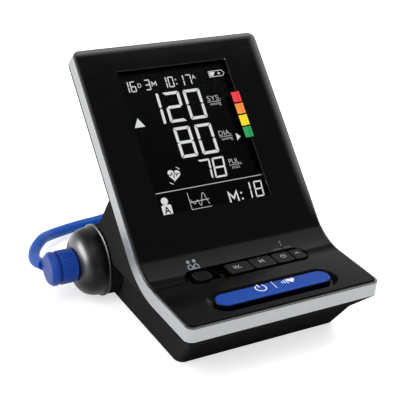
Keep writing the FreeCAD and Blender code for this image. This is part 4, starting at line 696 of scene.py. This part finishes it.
def turned(outline, x, y, angle):
    """An outline turned about a point, anticlockwise in degrees."""
    c, s = math.cos(math.radians(angle)), math.sin(math.radians(angle))
    return [(x + (px - x) * c - (py - y) * s, y + (px - x) * s + (py - y) * c) for px, py in outline]


def display_symbols():
    """Pointers, heart, person and graph."""
    lit_mark("pointer_up", [[(-36.8, 75.5), (-29.9, 75.5), (-33.3, 81.3)]])
    lit_mark("pointer_right", [[(27.6, 57.7), (30.7, 60.0), (28.0, 62.6)]])
    lit_mark("divider_line", stroke([(-36.8, 33.6), (35.9, 33.6)], 0.42), DIM_LIGHT)
    heart = turned(heart_outline(-21.6, 42.4, 8.2, 28), -21.6, 42.4, HEART_TURN)
    lit_mark("heart_symbol", [heart] + stroke(arc(-21.4, 42.7, 5.5, 62, 36, 5), 0.45)
             + stroke(arc(-21.6, 42.5, 5.4, 222, 248, 5), 0.45))
    dark_inlay("heart_beat", stroke([(-25.2, 43.6), (-23.6, 43.2), (-22.6, 44.6), (-22.0, 41.0),
                                     (-20.8, 44.6), (-20.0, 42.2), (-19.4, 43.6), (-18.0, 43.4)], 0.62))
    shoulders = [(-35.9, 20.2), (-29.6, 20.2), (-29.4, 25.4), (-30.4, 26.1), (-35.0, 26.1), (-35.8, 25.4)]
    lit_mark("person_symbol", [arc(-32.8, 28.4, 2.25, 0, 345, 23), shoulders])
    dark_inlay("person_letter", lettering("A", -34.7, 20.7, 4.3, 4.0, 0.02))
    wave = [(-16.4, 26.4), (-15.4, 24.6), (-14.2, 23.3), (-12.8, 24.4), (-11.8, 25.4), (-10.9, 22.4),
            (-10.2, 21.7), (-9.2, 24.0), (-8.2, 27.8), (-7.2, 29.4), (-6.3, 28.4), (-5.6, 24.6), (-4.6, 21.9)]
    lit_mark("graph_symbol", stroke([(-17.0, 30.8), (-17.0, 20.2), (-3.6, 20.2)], 0.36)
             + stroke(wave, 0.32) + stroke([(-16.6, 24.7), (-4.0, 24.9)], 0.46), DIM_LIGHT)


def display_memory():
    """Memory place: a letter, a colon and two figures."""
    shapes = letter_m(9.0, 20.0, 6.3, 6.8, 1.15)
    for y in (21.0, 24.7):
        shapes += stroke([(17.6, y), (18.7, y)], 1.1)
    shapes += digit("1", 23.2, 20.3, 2.0, 10.1, 0.9, 0.2, 0.09)
    shapes += digit("8", 27.55, 20.2, 5.9, 10.2, 0.9, 0.2, 0.09)
    lit_mark("memory_place", shapes)


SCALE_LOW, SCALE_PITCH, SCALE_HIGH = 81.15, 7.88, 6.9
SCALE_LEFT, SCALE_RIGHT = 31.75, 37.3


def colour_scale():
    """Four printed blocks over the window's right edge: part on the pane, part on the face."""
    pane_end = WINDOW_RIGHT - 0.1
    places = (("pane", PANE_DEPTH, SCALE_LEFT, pane_end, SCALE_THICK),
              ("step", PANE_DEPTH, pane_end, WINDOW_RIGHT, PANE_DEPTH - FACE_DEPTH + SCALE_THICK),
              ("face", FACE_DEPTH, WINDOW_RIGHT, SCALE_RIGHT, SCALE_THICK))
    tones = {"red": (0.80, 0.02, 0.035), "orange": (0.95, 0.27, 0.03), "yellow": (1.0, 0.72, 0.0),
             "green": (0.0, 0.32, 0.08)}
    for step, (name, tone) in enumerate(tones.items()):
        low = SCALE_LOW - SCALE_PITCH * step
        top = low + SCALE_HIGH
        paint = ink("scale_" + name, tone)
        for place, depth, left, right, thick in places:
            printed("scale_{}_{}".format(name, place), SLOPE, -depth,
                    [[(left, low), (right, low), (right, top), (left, top)]], paint,
                    thick=thick)


def window_edge():
    """Painted highlight on the window's polished edge along its top and right side, with a painted glint at
    the corner.
    """
    right, top = WINDOW_RIGHT, WINDOW_TOP
    inner, under = right - 0.4, top - 0.3
    strips = (("top", WINDOW_LEFT, right, under, top), ("upper", inner, right, 88.2, under),
              ("lower", inner, right, 19.1, 57.3))
    for name, start, end, low, high in strips:
        # painted highlight: grey strips along the window's top and right edge
        printed("window_edge_" + name, SLOPE, -PANE_DEPTH,
                [[(start, low), (end, low), (end, high), (start, high)]], EDGE_PAINTED_HIGHLIGHT)
    # painted glint: a light spot at the window's top right corner
    printed("window_corner", SLOPE, -PANE_DEPTH + 0.04, [arc(inner, top - 0.4, 0.55, 0, 345, 23)],
            CORNER_PAINTED_GLINT)


# ================================================================ printed symbols on button, keys and deck
def button_symbols():
    """Power sign, a divider and a beating heart on the start button."""
    y = BUTTON_SIGN_Y
    power = stroke(arc(-7.3, y + 0.1, 3.15, 128, 412, 24), 0.72) + stroke(
        [(-7.6, y + 0.8), (-8.0, y + 4.0)], 0.7)
    divider = stroke([(1.2, y - 3.7), (1.4, y + 3.5)], 0.42)
    heart = [heart_outline(13.0, y + 0.3, 5.0)]
    beats = []
    for x, half in ((7.0, 0.9), (8.5, 1.6), (10.0, 2.2)):
        beats += stroke([(x, y + 0.3 - half), (x, y + 0.3 + half)], 0.55)
    printed("button_symbols", DECK, BUTTON_TOP, power + divider + heart + beats, WHITE_INK,
            "start_button")


def key_symbols():
    """A symbol on each key: graph, memory letter, clock and up arrow."""
    y = KEY_SIGN_Y
    graph = (stroke([(-9.2, y + 1.6), (-9.2, y - 1.4), (-4.6, y - 1.4)], 0.4)
             + stroke([(-8.6, y - 0.6), (-7.6, y + 1.0), (-6.6, y - 0.4), (-5.4, y + 1.3)], 0.4))
    printed("key_sign_graph", DECK, KEY_TOP, graph, GREY_INK, "key_graph")
    printed("key_sign_memory", DECK, KEY_TOP, letter_m(8.0, y - 1.6, 3.2, 2.9, 0.5), GREY_INK,
            "key_memory")
    clock = (stroke(arc(24.4, y, 1.6, 0, 345, 23), 0.36, True)
             + stroke([(24.4, y + 1.0), (24.4, y), (25.2, y)], 0.32))
    printed("key_sign_clock", DECK, KEY_TOP, clock, GREY_INK, "key_clock")
    arrow = stroke([(33.0, y - 0.5), (34.3, y + 0.9), (35.6, y - 0.5)], 0.5)
    printed("key_sign_up", DECK, KEY_TOP, arrow, GREY_INK, "key_up")


def deck_symbols():
    """On the bend: two users over the slider, and a bracket with a small figure over the keys."""
    users = []
    for x in (-33.2, -29.4):
        users.append(arc(x, -25.6, 1.15, 0, 345, 23))
        users += stroke([(x - 1.3, -30.8), (x - 1.4, -29.0), (x - 0.6, -27.8), (x + 0.6, -27.8),
                         (x + 1.4, -29.0), (x + 1.3, -30.8)], 0.75, True)
    printed("user_symbols", BEND, 0.0, users, USER_INK)
    bracket = stroke([(22.4, -31.0), (22.4, -30.2), (27.3, -30.2)], 0.35) + stroke(
        [(29.4, -30.2), (33.8, -30.2), (33.8, -31.0)], 0.35)
    figure = [arc(29.0, -25.5, 0.6, 0, 345, 15)] + stroke([(29.0, -26.4), (28.9, -28.6)], 0.6)
    printed("bracket_line", BEND, 0.0, bracket + figure, FAINT_INK)


# ================================================================ air tube
def make_air_tube():
    """The whole tube: from the plug, down to the table, two flat turns and in to the cuff connector."""
    points = list(TUBE_ROUTE)
    steps = COIL_TURNS * COIL_STEPS
    for i in range(1, steps):
        turn = math.radians(COIL_FIRST - 360 * COIL_TURNS * i / steps)
        radius = COIL_OUT + (COIL_IN - COIL_OUT) * i / steps
        points.append((COIL_CENTRE[0] + radius * math.cos(turn), COIL_CENTRE[1] + radius * math.sin(turn),
                       COIL_CENTRE[2]))
    points += TAIL_ROUTE
    curve = bpy.data.curves.new("air_tube_line", "CURVE")
    curve.dimensions = "3D"
    curve.resolution_u, curve.bevel_resolution = 8, 6
    curve.bevel_depth = TUBE_R * 0.001
    curve.use_fill_caps = True
    line = curve.splines.new("NURBS")
    line.points.add(len(points) - 1)
    for spot, point in zip(line.points, points):
        spot.co = tuple(mm(*point)) + (1.0,)
    line.order_u = 3
    line.use_endpoint_u = True
    curve.materials.append(FINISH["tube_blue"])
    piece = bpy.data.objects.new("air_tube_line", curve)
    SCENE.collection.objects.link(piece)
    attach(piece, "housing")
    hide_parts("air_tube", "tube_coil", "tube_tail")


# ================================================================ studio
def make_studio():
    """A white room and floor with three soft lamps; the strip is seen only as a reflection."""
    world = bpy.data.worlds.new("studio")
    world.use_nodes = True
    tree = world.node_tree
    path = tree.nodes.new("ShaderNodeLightPath")
    bright = tree.nodes.new("ShaderNodeMapRange")
    tree.links.new(path.outputs["Is Diffuse Ray"], bright.inputs["Value"])
    bright.inputs["To Min"].default_value, bright.inputs["To Max"].default_value = 1.0, ROOM_LIGHT
    tree.nodes["Background"].inputs["Color"].default_value = colour(1, 1, 1)
    tree.links.new(bright.outputs["Result"], tree.nodes["Background"].inputs["Strength"])
    SCENE.world = world
    SCENE.view_settings.view_transform = "Standard"
    SCENE.view_settings.look = "None"
    make_floor()
    add_light("key_softbox", (-0.55, -0.25, 0.75), (-0.05, 0.0, 0.05), (0.5, 0.7), 3.2)
    add_light("top_softbox", (0.45, 0.1, 0.85), MIDDLE, (0.6, 0.5), 4.5)
    strip = add_light("strip_softbox", (-0.95, 0.34, 0.19), LEFT_DOME, (0.8, 0.36), 15.0)
    strip.visible_diffuse = False


def make_floor():
    """The white table, which glows only where it is seen or mirrored."""
    mesh = bpy.data.meshes.new("floor")
    mesh.from_pydata([(-4, -4, 0), (4, -4, 0), (4, 6, 0), (-4, 6, 0)], [], [(0, 1, 2, 3)])
    floor = bpy.data.objects.new("floor", mesh)
    SCENE.collection.objects.link(floor)
    g = Graph("floor_white")
    soft = g.noise(3, 2)
    seen = (g.node("ShaderNodeLightPath", "Is Camera Ray", {})
            + g.node("ShaderNodeLightPath", "Is Glossy Ray", {})
            + g.node("ShaderNodeLightPath", "Is Transmission Ray", {})).above(0.5)
    white = g.blend(soft, colour(0.84, 0.84, 0.84), colour(0.88, 0.88, 0.88))
    glow = g.blend(seen, colour(0, 0, 0), shade((1, 1, 1), FLOOR_GLOW))
    mesh.materials.append(g.finish(Base_Color=white, Emission_Color=glow, Emission_Strength=1.0,
                                   Roughness=0.9, Specular_IOR_Level=0.0))


def add_light(name, place, aim, size, power):
    """A soft rectangular lamp that points at a spot; metres and watts."""
    data = bpy.data.lights.new(name, "AREA")
    data.shape, data.size, data.size_y = "RECTANGLE", size[0], size[1]
    data.energy = power
    light = bpy.data.objects.new(name, data)
    light.location = place
    light.rotation_mode = "QUATERNION"
    light.rotation_quaternion = (Vector(aim) - Vector(place)).to_track_quat("-Z", "Y")
    SCENE.collection.objects.link(light)
    return light


WHITE_LIGHT = lit("display_light", (0.80, 0.80, 0.79), 0.8)
DIM_LIGHT = lit("display_light_thin", (0.62, 0.62, 0.62), 0.8)
WHITE_INK = ink("white_ink", (0.85, 0.87, 0.9))
GREY_INK = ink("grey_ink", (0.42, 0.43, 0.44))
USER_INK = ink("user_ink", (0.17, 0.20, 0.22))
FAINT_INK = ink("faint_ink", (0.07, 0.075, 0.075))
# painted highlight and painted glint for the window's edge
EDGE_PAINTED_HIGHLIGHT = ink("window_edge_painted_highlight", (0.03, 0.031, 0.032))
CORNER_PAINTED_GLINT = ink("window_corner_painted_glint", (0.22, 0.22, 0.22))

make_camera()
dress_nodes()
make_air_tube()
display_readings()
display_names()
display_date()
battery_symbol()
display_symbols()
display_memory()
colour_scale()
window_edge()
button_symbols()
key_symbols()
deck_symbols()
make_studio()
